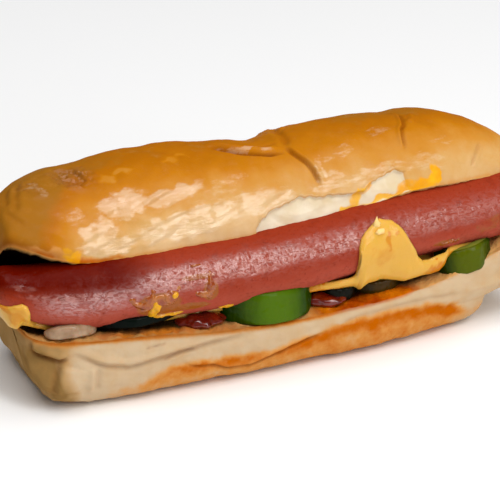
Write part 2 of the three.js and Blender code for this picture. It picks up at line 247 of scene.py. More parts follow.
@dataclass(frozen=True)
class Rise:
    """A climb from 0 to its height, over a length from its start. A negative length runs the other way."""

    height: float
    start: float
    length: float
    kind: RiseKind = RiseKind.SMOOTH
    power: float = 2.0
    limit: float = 9.0

    def at(self, x: Array) -> Array:
        """What is reached at x."""
        along = (x - self.start) / self.length
        if self.kind is RiseKind.SMOOTH:
            return self.height * smooth_step(along)
        return self.height * np.clip(along, 0.0, self.limit) ** self.power


@dataclass(frozen=True)
class Bow:
    """How far the filling bows back towards both ends: depth times ((x - middle) / half length) squared."""

    depth: float = 5.0
    middle: float = -4.0
    half_length: float = 70.0

    def at(self, x: Array) -> Array:
        """Distance to the back at x."""
        return self.depth * ((x - self.middle) / self.half_length) ** 2


BOW = Bow()


@dataclass(frozen=True)
class Rim:
    """The front edge of one half of the bun."""

    y: float
    bow_share: float
    z: float
    rises: tuple[Rise, ...]

    def at(self, x: Array) -> tuple[Array, Array]:
        """The rim's y and z at x."""
        climb = sum(rise.at(x) for rise in self.rises)
        return self.y + self.bow_share * BOW.at(x), self.z + climb


@dataclass(frozen=True)
class Lobe:
    """A bell about a place: a swelling or, with a negative rise, a waist."""

    x: float
    width: float
    rise: float

    def at(self, x: Array) -> Array:
        """The bell's height at x."""
        return self.rise * hump((x - self.x) / self.width)


@dataclass(frozen=True)
class Profile:
    """A value that runs straight between stops, each a place and a value, and is level beyond them."""

    stops: tuple[tuple[float, float], ...] = ((0.0, 0.0),)

    def at(self, place: Array) -> Array:
        """The value at each place."""
        places, values = np.array(self.stops).T
        return np.interp(place, places, values)


@dataclass(frozen=True)
class Bumps:
    """Smooth unevenness of a surface: its height and its size, in millimetres, and its seed."""

    height: float
    size: float
    seed: int
    octaves: int = 3

    def at(self, points: Array) -> Array:
        """Height at each point."""
        return self.height * unevenness(points, self.size, self.seed, self.octaves)


# ---------- meshes ----------


@dataclass
class Skin:
    """A closed mesh in the making: rings of points with a point at each end, and values for the finish."""

    points: Array
    first: Array
    last: Array
    values: dict[str, Array] = field(default_factory=dict)

    def vertices(self) -> Array:
        """All points as one list, the two end points last."""
        return np.concatenate([self.points.reshape(-1, 3), self.first[None], self.last[None]])

    def faces(self) -> tuple[Array, Array]:
        """The quads between the rings and the triangles of the two fans, all facing outwards."""
        rows, around = self.points.shape[:2]
        i, j = np.arange(rows - 1)[:, None] * around, np.arange(around)[None, :]
        after = (j + 1) % around
        quads = np.stack([i + j, i + around + j, i + around + after, i + after], axis=-1).reshape(-1, 4)
        ring, after, end = j[0], after[0], (rows - 1) * around
        first = np.stack([np.full(around, rows * around), ring, after], axis=-1)
        last = np.stack([np.full(around, rows * around + 1), end + after, end + ring], axis=-1)
        fans = np.concatenate([first, last])
        corner = self.vertices()[np.concatenate([quads[:, :3], quads[:, [0, 2, 3]], fans])]
        volume = np.sum(corner[:, 0] * np.cross(corner[:, 1], corner[:, 2]))
        return (quads, fans) if volume > 0 else (quads[:, ::-1], fans[:, ::-1])

    def value_list(self, name: str) -> Array:
        """One value as a list in the order of the vertices."""
        value = np.broadcast_to(self.values[name], self.points.shape[:2])
        return np.concatenate([value.ravel(), [value[0].mean(), value[-1].mean()]])


def make_object(name: str, skins: list[Skin], material: bpy.types.Material) -> bpy.types.Object:
    """Joins closed skins into one smooth-shaded mesh object at the origin.

    Args:
        name: Name of the object.
        skins: The closed skins, in millimetres.
        material: Its finish.

    Returns:
        The object, linked to the scene.
    """
    starts = np.cumsum([0] + [len(skin.vertices()) for skin in skins])
    pairs = [skin.faces() for skin in skins]
    quads = np.concatenate([pair[0] + start for pair, start in zip(pairs, starts)])
    fans = np.concatenate([pair[1] + start for pair, start in zip(pairs, starts)])
    vertices = np.concatenate([skin.vertices() for skin in skins]) * MM
    mesh = bpy.data.meshes.new(name)
    mesh.vertices.add(len(vertices))
    mesh.vertices.foreach_set("co", vertices.astype(np.float32).ravel())
    corners = np.concatenate([quads.ravel(), fans.ravel()])
    mesh.loops.add(len(corners))
    mesh.loops.foreach_set("vertex_index", corners.astype(np.int32))
    mesh.polygons.add(len(quads) + len(fans))
    loop_starts = np.concatenate([np.arange(len(quads)) * 4, quads.size + np.arange(len(fans)) * 3])
    mesh.polygons.foreach_set("loop_start", loop_starts.astype(np.int32))
    mesh.update(calc_edges=True)
    mesh.shade_smooth()
    for key in skins[0].values:
        made = mesh.attributes.new(key, "FLOAT", "POINT")
        listed = np.concatenate([skin.value_list(key) for skin in skins])
        made.data.foreach_set("value", listed.astype(np.float32))
    mesh.materials.append(material)
    made = bpy.data.objects.new(name, mesh)
    bpy.context.scene.collection.objects.link(made)
    return made


class Slot(Enum):
    """Names of material slots."""

    BREAD = "bread"
    SAUSAGE = "sausage_skin"
    CHEESE = "melted_cheese"
    PEPPER = "green_pepper"
    ONION = "onion"
    KETCHUP = "ketchup"


def install(name: str, skins: list[Skin], material: bpy.types.Material, node: str = "") -> None:
    """Makes a finished piece of the hot dog, hangs it under the root body and hides the CAD node that it
    stands for.

    Args:
        name: Name of the piece.
        skins: Its closed skins.
        material: Its finish.
        node: The CAD node that it stands for, if any.
    """
    piece = make_object(name, skins, material)
    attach(piece, "root")
    if node:
        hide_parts(node)
    LOG.info("%s: %d faces", name, len(piece.data.polygons))


# ---------- node graphs of the finishes ----------


@dataclass(frozen=True)
class Edge:
    """How a value of the mesh becomes a mask with a ragged edge.

    Attributes:
        value: Name of the value.
        shares: Names of noises and how much of each is added to the value.
        less: What is taken off the sum.
        low: Where the mask begins.
        high: Where it is full.
    """

    value: str
    shares: tuple[tuple[str, float], ...]
    less: float
    low: float
    high: float


class Graph:
    """A material's nodes, with short calls for the few kinds that the finishes use."""

    def __init__(self, name: str) -> None:
        """Makes the material with its shader."""
        self.material = bpy.data.materials.new(name)
        self.material.use_nodes = True
        self.nodes = self.material.node_tree.nodes
        self.links = self.material.node_tree.links
        self.shader = self.nodes["Principled BSDF"]
        self.place = self.nodes.new("ShaderNodeTexCoord").outputs["Object"]

    def put(self, socket: bpy.types.NodeSocket, value: object) -> None:
        """Links a socket to another one, or sets its value."""
        if isinstance(value, bpy.types.NodeSocket):
            self.links.new(value, socket)
        else:
            socket.default_value = value

    def value(self, name: str) -> bpy.types.NodeSocket:
        """A value that the mesh holds."""
        node = self.nodes.new("ShaderNodeAttribute")
        node.attribute_name = name
        return node.outputs["Fac"]

    def noise(self, size: float, detail: float = 3.0, stretch: tuple[float, float, float] = (1, 1, 1),
              turn: tuple[float, float, float] = (0, 0, 0), distortion: float = 0.0) -> bpy.types.NodeSocket:
        """Noise from 0 to 1 whose lumps are about size mm, stretched along turned axes."""
        mapping = self.nodes.new("ShaderNodeMapping")
        self.links.new(self.place, mapping.inputs["Vector"])
        mapping.inputs["Scale"].default_value = tuple(1.0 / (size * MM * part) for part in stretch)
        mapping.inputs["Rotation"].default_value = tuple(math.radians(part) for part in turn)
        node = self.nodes.new("ShaderNodeTexNoise")
        node.inputs["Scale"].default_value = 1.0
        node.inputs["Detail"].default_value = detail
        node.inputs["Distortion"].default_value = distortion
        self.links.new(mapping.outputs["Vector"], node.inputs["Vector"])
        return node.outputs["Fac"]

    def cells(self, size: float) -> bpy.types.NodeSocket:
        """Distance to the nearest of scattered points that are about size mm apart."""
        node = self.nodes.new("ShaderNodeTexVoronoi")
        node.inputs["Scale"].default_value = 1.0 / (size * MM)
        self.links.new(self.place, node.inputs["Vector"])
        return node.outputs["Distance"]

    def sum(self, *terms: tuple[object, float]) -> bpy.types.NodeSocket:
        """The sum of values, each times a factor."""
        total = 0.0
        for value, factor in terms:
            node = self.nodes.new("ShaderNodeMath")
            node.operation = "MULTIPLY_ADD"
            self.put(node.inputs[0], value)
            self.put(node.inputs[1], factor)
            self.put(node.inputs[2], total)
            total = node.outputs[0]
        return total

    def times(self, first: object, second: object) -> bpy.types.NodeSocket:
        """One value times another."""
        node = self.nodes.new("ShaderNodeMath")
        node.operation = "MULTIPLY"
        self.put(node.inputs[0], first)
        self.put(node.inputs[1], second)
        return node.outputs[0]

    def step(self, value: object, low: float, high: float, to_low: float = 0.0,
             to_high: float = 1.0) -> bpy.types.NodeSocket:
        """A smooth step of the value between low and high."""
        node = self.nodes.new("ShaderNodeMapRange")
        node.interpolation_type = "SMOOTHSTEP"
        for k, part in enumerate((value, low, high, to_low, to_high)):
            self.put(node.inputs[k], part)
        return node.outputs["Result"]

    def mask(self, edge: Edge, **noises: bpy.types.NodeSocket) -> bpy.types.NodeSocket:
        """The mask that an edge describes, made ragged by the named noises."""
        added = [(noises[name], share) for name, share in edge.shares]
        total = self.sum((self.value(edge.value), 1.0), *added, (1.0, -edge.less))
        return self.step(total, edge.low, edge.high)

    def ramp(self, value: object, stops: tuple[tuple[float, Colour], ...]) -> bpy.types.NodeSocket:
        """A colour that runs through the stops."""
        node = self.nodes.new("ShaderNodeValToRGB")
        elements = node.color_ramp.elements
        for k, (place, colour) in enumerate(stops):
            element = elements[k] if k < 2 else elements.new(place)
            element.position, element.color = place, linear(colour)
        self.put(node.inputs["Fac"], value)
        return node.outputs["Color"]

    def mix(self, share: object, first: object, second: object) -> bpy.types.NodeSocket:
        """The first colour, with a share of the second."""
        node = self.nodes.new("ShaderNodeMix")
        node.data_type = "RGBA"
        self.put(node.inputs[0], share)
        for socket, colour in ((node.inputs[6], first), (node.inputs[7], second)):
            self.put(socket, linear(colour) if isinstance(colour, tuple) else colour)
        return node.outputs[2]

    def bump(self, height: object, distance: float, strength: object = 1.0,
             under: bpy.types.NodeSocket | None = None) -> bpy.types.NodeSocket:
        """A normal bent by a height from 0 to 1 that stands for distance mm."""
        node = self.nodes.new("ShaderNodeBump")
        node.inputs["Distance"].default_value = distance * MM
        self.put(node.inputs["Strength"], strength)
        self.put(node.inputs["Height"], height)
        if under is not None:
            self.links.new(under, node.inputs["Normal"])
        return node.outputs["Normal"]

    def finish(self, **sockets: object) -> bpy.types.Material:
        """Sets the shader's sockets, by their names with underscores for blanks."""
        if "Normal" in sockets:
            sockets.setdefault("Coat_Normal", sockets["Normal"])
        for name, value in sockets.items():
            self.put(self.shader.inputs[name.replace("_", " ")], value)
        return self.material


TOAST_SHARES = (("middle", 0.45), ("fine", 0.2), ("broad", 0.3))


@dataclass(frozen=True)
class BreadFinish:
    """Soft crust from the oven: cream where it is pale, then golden, then brown, with its torn crumb and its
    stains, painted highlights on its flakes of glaze, and painted shade in its creases, along its rims, at
    its left ends, where a lit facet is painted paler, and in the gap between the halves.

    It reads these values of the mesh: bake, glaze, gloss_and_painted_highlight, crumb, stain, toast,
    crease_and_shade, cut, soak and painted_gap_shade.
    """

    name: str
    shades: tuple[tuple[float, Colour], ...]
    # Pale cream laid over the glossy flakes of glaze: a painted highlight.
    gloss_and_painted_highlight: Colour = (230, 205, 168)
    crumb: Colour = (230, 215, 188)
    crumb_shade: Colour = (218, 196, 158)
    stain: Colour = (244, 182, 0)
    stain_brown: Colour = (232, 156, 0)
    toast: Colour = (188, 94, 2)
    light_toast: Colour = (208, 145, 74)
    # Near black: painted shade in the gap between the halves and behind the fillings.
    painted_gap_shade: Colour = (4, 1, 0)
    # Painted shade: the colour laid into creases and along the shadowed rims.
    crease_and_shade: Colour = (118, 54, 4)
    cut: Colour = (206, 156, 92)
    soak: Colour = (166, 62, 3)
    soak_light: Colour = (212, 116, 6)
    roughness: float = 0.4
    coat: float = 1.0
    coat_roughness: float = 0.08
    grain: float = 0.10
    broad_size: float = 9.0
    middle_size: float = 2.6
    fine_size: float = 0.7
    torn_size: float = 1.1
    streak_size: float = 1.5
    streak_stretch: tuple[float, float, float] = (2.6, 1.2, 0.55)
    gloss_and_highlight_edge: Edge = Edge("gloss_and_painted_highlight", (("streaks", 1.4), ("fine", 0.6)), 1.0, 0.3, 0.95)
    light_toast_edge: Edge = Edge("toast", TOAST_SHARES, 0.48, -0.02, 0.6)
    toast_edge: Edge = Edge("toast", TOAST_SHARES, 0.48, 0.4, 1.02)
    soak_edge: Edge = Edge("soak", (("broad", 0.6),), 0.3, 0.15, 0.85)
    stain_edge: Edge = Edge("stain", (("middle", 0.8),), 0.4, 0.15, 0.8)

    def build(self) -> bpy.types.Material:
        """The crust's material: colours laid over each other by masks, then the relief and the coat."""
        g = Graph(self.name)
        broad, middle = g.noise(self.broad_size), g.noise(self.middle_size, 4.0)
        fine = g.noise(self.fine_size)
        streaks = g.noise(self.streak_size, 4.0, self.streak_stretch, distortion=0.35)
        bake = g.sum((g.value("bake"), 1.0), (broad, 0.22), (middle, 0.12), (fine, 0.05), (1.0, -0.2))
        gloss_and_painted_highlight = g.mask(self.gloss_and_highlight_edge, streaks=streaks, fine=fine)
        # A share of pale cream on the flakes paints a highlight over their real coat.
        colour = g.mix(g.times(gloss_and_painted_highlight, 0.3), g.ramp(bake, self.shades), self.gloss_and_painted_highlight)
        for edge, shade in ((self.light_toast_edge, self.light_toast), (self.toast_edge, self.toast)):
            colour = g.mix(g.mask(edge, broad=broad, middle=middle, fine=fine), colour, shade)
        torn, cut = g.step(g.value("crumb"), 0.4, 0.6), g.value("cut")
        colour = g.mix(torn, colour, g.mix(g.step(broad, 0.35, 0.7), self.crumb, self.crumb_shade))
        colour = g.mix(cut, colour, self.cut)
        soak = g.mask(self.soak_edge, broad=broad)
        colour = g.mix(soak, colour, g.mix(g.step(broad, 0.35, 0.65), self.soak, self.soak_light))
        stained = g.mix(g.step(broad, 0.4, 0.6), self.stain, self.stain_brown)
        colour = g.mix(g.times(g.mask(self.stain_edge, middle=middle), 0.9), colour, stained)
        # Painted shade in the creases and along the shadowed rims.
        colour = g.mix(g.value("crease_and_shade"), colour, self.crease_and_shade)
        # The gap between the halves and behind the fillings is painted black as shade.
        colour = g.mix(g.value("painted_gap_shade"), colour, self.painted_gap_shade)
        dry = g.step(g.sum((torn, 0.8), (cut, 0.8), (soak, -0.6)), 0.0, 0.8)
        roughness = g.sum((dry, 0.3), (gloss_and_painted_highlight, -0.12), (fine, 0.12), (1.0, self.roughness - 0.06))
        coat = g.times(g.value("glaze"), g.sum((gloss_and_painted_highlight, 0.65 * self.coat), (1.0, 0.35 * self.coat)))
        normal = g.bump(g.sum((fine, 0.45), (middle, 0.55)), self.grain, 0.8)
        normal = g.bump(streaks, 0.3, g.sum((gloss_and_painted_highlight, 0.6), (1.0, 0.12)), normal)
        rough_crumb = g.times(g.sum((torn, 0.12), (cut, 0.9)), 0.8)
        normal = g.bump(g.noise(self.torn_size, 5.0), 0.8, rough_crumb, normal)
        wet = g.bump(streaks, 0.24, 0.8, g.bump(fine, 0.1, 0.7))
        return g.finish(Base_Color=colour, Roughness=roughness, Coat_Weight=coat,
                        Coat_Roughness=self.coat_roughness, Specular_IOR_Level=0.0, Normal=normal,
                        Coat_Normal=wet, Subsurface_Weight=0.05, Subsurface_Scale=0.0015)


@dataclass(frozen=True)
class SausageFinish:
    """Smoked skin: browner above, pinker below, crackled where it is wet. The brown above is partly painted
    shade under the bun's lip; a painted sheen lies on the lower left and painted highlights in the wet
    crackle.

    It reads these values of the mesh: under, painted_sheen, shade, wet and sauce.
    """

    name: str = "sausage_skin"
    # The browner colour above is partly the skin's own and partly painted shade under the bun's lip.
    upper: Colour = (150, 52, 28)
    lower: Colour = (172, 78, 60)
    sauce: Colour = (152, 84, 10)
    fleck: Colour = (104, 26, 10)
    # Painted shade under the bun's lip at the left end.
    dark: Colour = (94, 12, 1)
    # Pinkish white laid into the wet crackle: a painted highlight.
    gloss: Colour = (200, 134, 120)
    # A pale pink painted sheen: the reflection on the sausage's lower left.
    painted_sheen: Colour = (218, 186, 184)
    crackle_size: float = 1.7
    crackle_stretch: tuple[float, float, float] = (1.5, 0.8, 0.7)
    crackle_turn: tuple[float, float, float] = (0.0, 25.0, 0.0)
    under_edge: Edge = Edge("under", (("broad", 0.45), ("middle", 0.3)), 0.37, 0.0, 1.0)
    sauce_edge: Edge = Edge("sauce", (("middle", 0.8),), 0.4, 0.3, 0.7)
    wet_edge: Edge = Edge("wet", (("middle", 0.7), ("broad", 0.5)), 0.6, 0.0, 1.0)

    def build(self) -> bpy.types.Material:
        """The skin's material: brown over pink, a painted sheen, painted shade, flecks, dried sauce, a
        painted highlight in the wet crackle, then the wet coat.
        """
        g = Graph(self.name)
        broad, middle, fine = g.noise(11.0), g.noise(3.0, 4.0), g.noise(0.8, 4.0)
        crackle = g.noise(self.crackle_size, 2.5, self.crackle_stretch, self.crackle_turn, 1.5)
        under = g.mask(self.under_edge, broad=broad, middle=middle)
        sauce = g.mask(self.sauce_edge, middle=middle)
        wet = g.mask(self.wet_edge, broad=broad, middle=middle)
        painted_sheen = g.times(g.value("painted_sheen"), g.step(crackle, 0.36, 0.62, 0.18, 0.62))
        shade = g.times(g.value("shade"), g.step(broad, 0.0, 0.5, 0.5, 1.0))
        colour = g.mix(painted_sheen, g.mix(under, self.upper, self.lower), self.painted_sheen)
        colour = g.mix(shade, colour, self.dark)
        colour = g.mix(g.step(middle, 0.5, 0.75, 0.0, 0.3), colour, self.fleck)
        colour = g.mix(g.step(fine, 0.58, 0.72, 0.0, 0.4), colour, self.fleck)
        colour = g.mix(g.times(sauce, 0.85), colour, self.sauce)
        # The wet crackle is partly painted pinkish white: a painted highlight.
        painted_highlight = g.times(g.times(wet, wet), g.step(crackle, 0.35, 0.65, 0.0, 0.45))
        colour = g.mix(painted_highlight, colour, self.gloss)
        coat = g.sum((wet, 0.9), (sauce, 0.5), (1.0, 0.06))
        normal = g.bump(crackle, 0.5, g.sum((wet, 0.7), (1.0, 0.2)))
        skin = g.bump(fine, 0.08, 0.8, g.bump(crackle, 0.2, 0.8))
        return g.finish(Base_Color=colour, Roughness=0.6, Coat_Weight=coat, Coat_Roughness=0.07,
                        Specular_IOR_Level=0.0, Normal=g.bump(fine, 0.2, 0.6, normal), Coat_Normal=skin,
                        Subsurface_Weight=0.1, Subsurface_Scale=0.0015)


@dataclass(frozen=True)
class CheeseFinish:
    """Melted processed cheese: soft yellow, orange where it is thin and greasy. It reads grease."""

    name: str
    body: Colour = (221, 168, 66)
    grease: Colour = (204, 122, 0)
    speck: Colour = (212, 126, 20)
    speck_gap: float = 6.5
    grease_edge: Edge = Edge("grease", (("broad", 0.4), ("middle", 0.4)), 0.4, 0.1, 1.0)

    def build(self) -> bpy.types.Material:
        """The cheese's material."""
        g = Graph(self.name)
        broad, middle, fine = g.noise(6.0), g.noise(1.8, 4.0), g.noise(0.6)
        grease = g.mask(self.grease_edge, broad=broad, middle=middle)
        colour = g.mix(grease, self.body, self.grease)
        colour = g.mix(g.step(g.cells(self.speck_gap), 0.1, 0.06), colour, self.speck)
        normal = g.bump(g.sum((middle, 0.7), (fine, 0.3)), 0.3, 0.7)
        return g.finish(Base_Color=colour, Roughness=0.36, Coat_Weight=0.4, Coat_Roughness=0.1,
                        Specular_IOR_Level=0.06, Normal=normal, Subsurface_Weight=0.2,
                        Subsurface_Scale=0.002)


@dataclass(frozen=True)
class PepperFinish:
    """Wet green pepper: a glossy skin outside, painted lighter in the middle of each stretch where the light
    falls, and paler flesh on the cut faces. It reads skin and painted_lit_middle.
    """

    name: str
    skin: Colour
    # The skin's lit colour, painted in the middle of each stretch.
    bright: Colour
    flesh: Colour
    gloss: float = 0.3
    specular: float = 0.03
    stripe_size: float = 5.0
    stripe_stretch: tuple[float, float, float] = (0.6, 0.6, 2.5)
    lit_middle_edge: Edge = Edge("painted_lit_middle", (("broad", 0.5),), 0.25, 0.0, 1.0)

    def build(self) -> bpy.types.Material:
        """The slice's material."""
        g = Graph(self.name)
        broad, fine = g.noise(self.stripe_size, stretch=self.stripe_stretch), g.noise(0.9)
        colour = g.mix(g.mask(self.lit_middle_edge, broad=broad), self.skin, self.bright)
        colour = g.mix(g.step(g.value("skin"), 0.7, 0.3), colour, self.flesh)
        normal = g.bump(g.sum((broad, 0.6), (fine, 0.4)), 0.3, 0.6)
        return g.finish(Base_Color=colour, Roughness=0.3, Coat_Weight=self.gloss, Coat_Roughness=0.12,
                        Specular_IOR_Level=self.specular, Normal=normal, Subsurface_Weight=0.05,
                        Subsurface_Scale=0.0012)


@dataclass(frozen=True)
class WetFinish:
    """A wet, more or less see-through food such as ketchup, sauce or raw onion."""

    name: str
    body: Colour
    other: Colour
    roughness: float
    coat: float
    depth: float
    lumps: float = 2.0
    relief: float = 0.3

    def build(self) -> bpy.types.Material:
        """The food's material."""
        g = Graph(self.name)
        middle, fine = g.noise(self.lumps, 4.0), g.noise(self.lumps / 3.0)
        colour = g.mix(g.step(middle, 0.3, 0.7), self.body, self.other)
        normal = g.bump(g.sum((middle, 0.7), (fine, 0.3)), self.relief, 0.7)
        return g.finish(Base_Color=colour, Roughness=self.roughness, Coat_Weight=self.coat,
                        Coat_Roughness=0.06, Specular_IOR_Level=0.15, Normal=normal,
                        Subsurface_Weight=self.depth, Subsurface_Scale=0.002)


# ---------- the two halves of the bun ----------


@dataclass
class Surface:
    """A grid over one half of the bun.

    Attributes:
        points: Places, stations first and the ring second: the crust, then the cut face.
        x: Station of each column, before any shortening moves it.
        s: Distance along the crust from the front rim; on the cut face, the distance behind the rim.
        total: Length of the crust around each station.
        end: Share of the full width at each station, 0 at both ends.
        cut: 1 on the flat cut face and 0 on the crust.
        outline: How many of the points of each ring lie on the crust.
    """

    points: Array
    x: Array
    s: Array
    total: Array
    end: Array
    cut: Array
    outline: int

    def at(self, x: Array, s: Array) -> Array:
        """The places on the crust at stations x and distances s, between the grid's points."""
        row = np.clip(np.interp(x, self.x[:, 0], np.arange(len(self.x))), 0, len(self.x) - 1.001)
        low = row.astype(int)
        share = (row - low)[:, None]
        ring = self.points[low, : self.outline] * (1 - share)[..., None]
        ring = ring + self.points[low + 1, : self.outline] * share[..., None]
        lengths = self.s[low, : self.outline] * (1 - share) + self.s[low + 1, : self.outline] * share
        column = np.clip((lengths <= s[:, None]).sum(axis=1) - 1, 0, self.outline - 2)
        every = np.arange(len(x))
        before, after = lengths[every, column], lengths[every, column + 1]
        part = clamp01((s - before) / np.maximum(after - before, 1e-6))[:, None]
        return ring[every, column] * (1 - part) + ring[every, column + 1] * part

    def fold(self, fold: Fold) -> tuple[Array, Array]:
        """How far a fold moves each point outwards, and how much painted shade it lays there.

        The crease is a bell of the distance to the fold's line, and the lip a wider bell that stands
        LIP_PLACE widths beside it. Both fade over the line's last fifths.
        """
        corners = np.array(fold.path)
        lengths = np.concatenate([[0.0], np.cumsum(np.hypot(*np.diff(corners, axis=0).T))])
        places = np.linspace(0.0, lengths[-1], max(int(lengths[-1] * 2), 8))
        line = np.stack([np.interp(places, lengths, corners[:, k]) for k in (0, 1)], axis=-1)
        for _ in range(3):
            line[1:-1] = (line[:-2] + 2 * line[1:-1] + line[2:]) / 4
        on_line = self.at(line[:, 0], line[:, 1])
        distance = np.full(self.x.shape, np.inf)
        nearest = np.zeros(self.x.shape, int)
        for k, place in enumerate(on_line):
            away = np.linalg.norm(self.points - place, axis=-1)
            nearest = np.where(away < distance, k, nearest)
            distance = np.minimum(distance, away)
        ahead = np.gradient(line, axis=0)[nearest]
        offset = np.stack([self.x, self.s], axis=-1) - line[nearest]
        beside = np.sign(ahead[..., 0] * offset[..., 1] - ahead[..., 1] * offset[..., 0]) * fold.side
        along = nearest / (len(line) - 1)
        fade = smooth_step(along * END_FADE + END_KEPT) * smooth_step((1 - along) * END_FADE + END_KEPT)
        fade = fade * (1 - self.cut)
        crease_and_shade = hump(distance / fold.width) * fade
        lip = hump((distance * beside - LIP_PLACE * fold.width) / (LIP_WIDTH * fold.width)) * fade
        return fold.lip * lip - fold.depth * crease_and_shade, fold.dark * crease_and_shade


@dataclass
class HalfLoaf:
    """What the two halves of the bun have in common."""

    left: float
    right: float
    plan_power: tuple[float, float]
    crown_power: tuple[float, float]
    station_power: float
    outline_power: float
    bulge: float
    curl: float
    rim: Rim
    hinge_y: float
    hinge_z: float
    depth: float
    stations: int
    outline: int
    front_share: float
    cut_steps: int
    outwards: float
    folds: tuple[Fold, ...] = ()
    plan_half_width: float = 20.0
    ring_half_width: float = 24.0
    front_end: Rise = Rise(1.0, -12.0, 8.0)
    calm_end: float = 0.35
    stray_x: Bumps = Bumps(1.6, 9.0, 91)
    stray_s: Bumps = Bumps(1.0, 6.5, 95)

    def height_at(self, x: Array) -> Array:
        """Thickness of the half over its cut at x."""
        return np.full_like(x, self.depth)

    def plan_at(self, place: Array) -> Array:
        """Half width of the half's plan at a place from -1 to 1."""
        return self.plan_half_width * taper(place, self.station_power)

    def outline_angles(self) -> Array:
        """Polar angles of one ring, closer together on the front than on the back."""
        angle = np.linspace(0.0, math.pi, FINE_STEPS)
        across, up = superellipse(angle, self.ring_half_width, self.depth, self.outline_power)
        middle = 0.5 * (across[1:] + across[:-1])
        density = self.front_share + (1.0 - self.front_share) * self.front_end.at(middle)
        along = np.concatenate([[0.0], np.cumsum(np.hypot(np.diff(across), np.diff(up)) * density)])
        return np.interp(np.linspace(0.0, along[-1], self.outline), along, angle)

    def place(self, x: Array, t: Array, width: Array, up: Array, tip: dict[str, Array]) -> Array:
        """Where a point of the half lies; each half has its own."""
        raise NotImplementedError

    def surface(self) -> Surface:
        """The half as a grid: its crust from the rim over to the back edge, then the cut face forwards.

        Each ring is a superellipse over the line from the rim to the back edge. Its foot is pulled in
        by the bulge, which fades with the height, and its width and height taper towards both ends.
        """
        reach, middle = (self.right - self.left) / 2.0, (self.right + self.left) / 2.0
        t = even_places(self.stations, reach, self.plan_at)[:, None]
        x = middle + reach * t
        rim_y, rim_z = self.rim.at(x)
        along_y, along_z = rim_y - self.hinge_y, rim_z - self.hinge_z
        full = np.hypot(along_y, along_z)
        tip = {
            "y": (rim_y + self.hinge_y) / 2.0,
            "z": (rim_z + self.hinge_z) / 2.0,
            "forward_y": along_y / full,
            "forward_z": along_z / full,
        }
        half_width = full / 2.0 + self.bulge
        height = self.height_at(x)
        across, up = superellipse(self.outline_angles()[None, :], half_width, height, self.outline_power)
        across = across * (1.0 - self.bulge / half_width * np.exp(-up / height / self.curl))
        cut_across = full / 2.0 * np.linspace(-1.0, 1.0, self.cut_steps + 2)[None, 1:-1]
        across = np.concatenate([across, cut_across], axis=1)
        up = np.concatenate([up / height, np.zeros_like(cut_across)], axis=1)
        points = self.place(x, t, across, up, tip)
        steps = np.linalg.norm(np.diff(points[:, : self.outline], axis=1), axis=-1)
        s = np.zeros(points.shape[:2])
        s[:, 1 : self.outline] = np.cumsum(steps, axis=1)
        s[:, self.outline :] = full / 2.0 - cut_across
        cut = np.zeros(points.shape[:2])
        cut[:, self.outline :] = 1.0
        total = np.broadcast_to(s[:, self.outline - 1 : self.outline], s.shape)
        end = np.broadcast_to(taper(t, self.station_power), s.shape)
        return Surface(points, np.broadcast_to(x, s.shape), s, total, end, cut, self.outline)

    def side_power(self, t: Array, powers: tuple[float, float]) -> Array:
        """The left or the right one of two powers, by the sign of the place."""
        return np.where(t < 0.0, powers[0], powers[1])

    def ragged(self, grid: Surface) -> tuple[Array, Array]:
        """The grid's x and s moved about by smooth unevenness, which makes the outlines of blots ragged."""
        return grid.x + self.stray_x.at(grid.points), grid.s + self.stray_s.at(grid.points)

    def folded(self, grid: Surface) -> tuple[Array, Array]:
        """The sum of what all folds do: how far each point moves outwards, and how much painted shade it
        gets.
        """
        marks = [grid.fold(fold) for fold in self.folds]
        return sum(mark[0] for mark in marks), clamp01(sum(mark[1] for mark in marks))

    def skin(self, grid: Surface, relief: Array, values: dict[str, Array]) -> Skin:
        """The grid moved outwards by the relief, without its first and last ring, which are points."""
        moved = grid.points + ring_normals(grid.points) * (relief * self.outwards)[..., None]
        inner = {name: np.broadcast_to(value, relief.shape)[1:-1] for name, value in values.items()}
        return Skin(moved[1:-1], grid.points[0, 0], grid.points[-1, 0], inner)


# Squeezes places across the streaks of the crown's glaze, which run along it and lean a little.
STREAK_AXES = np.array([[0.3, 0.0, -0.38], [0.0, 0.6, 0.0], [0.07, 0.0, 1.5]])


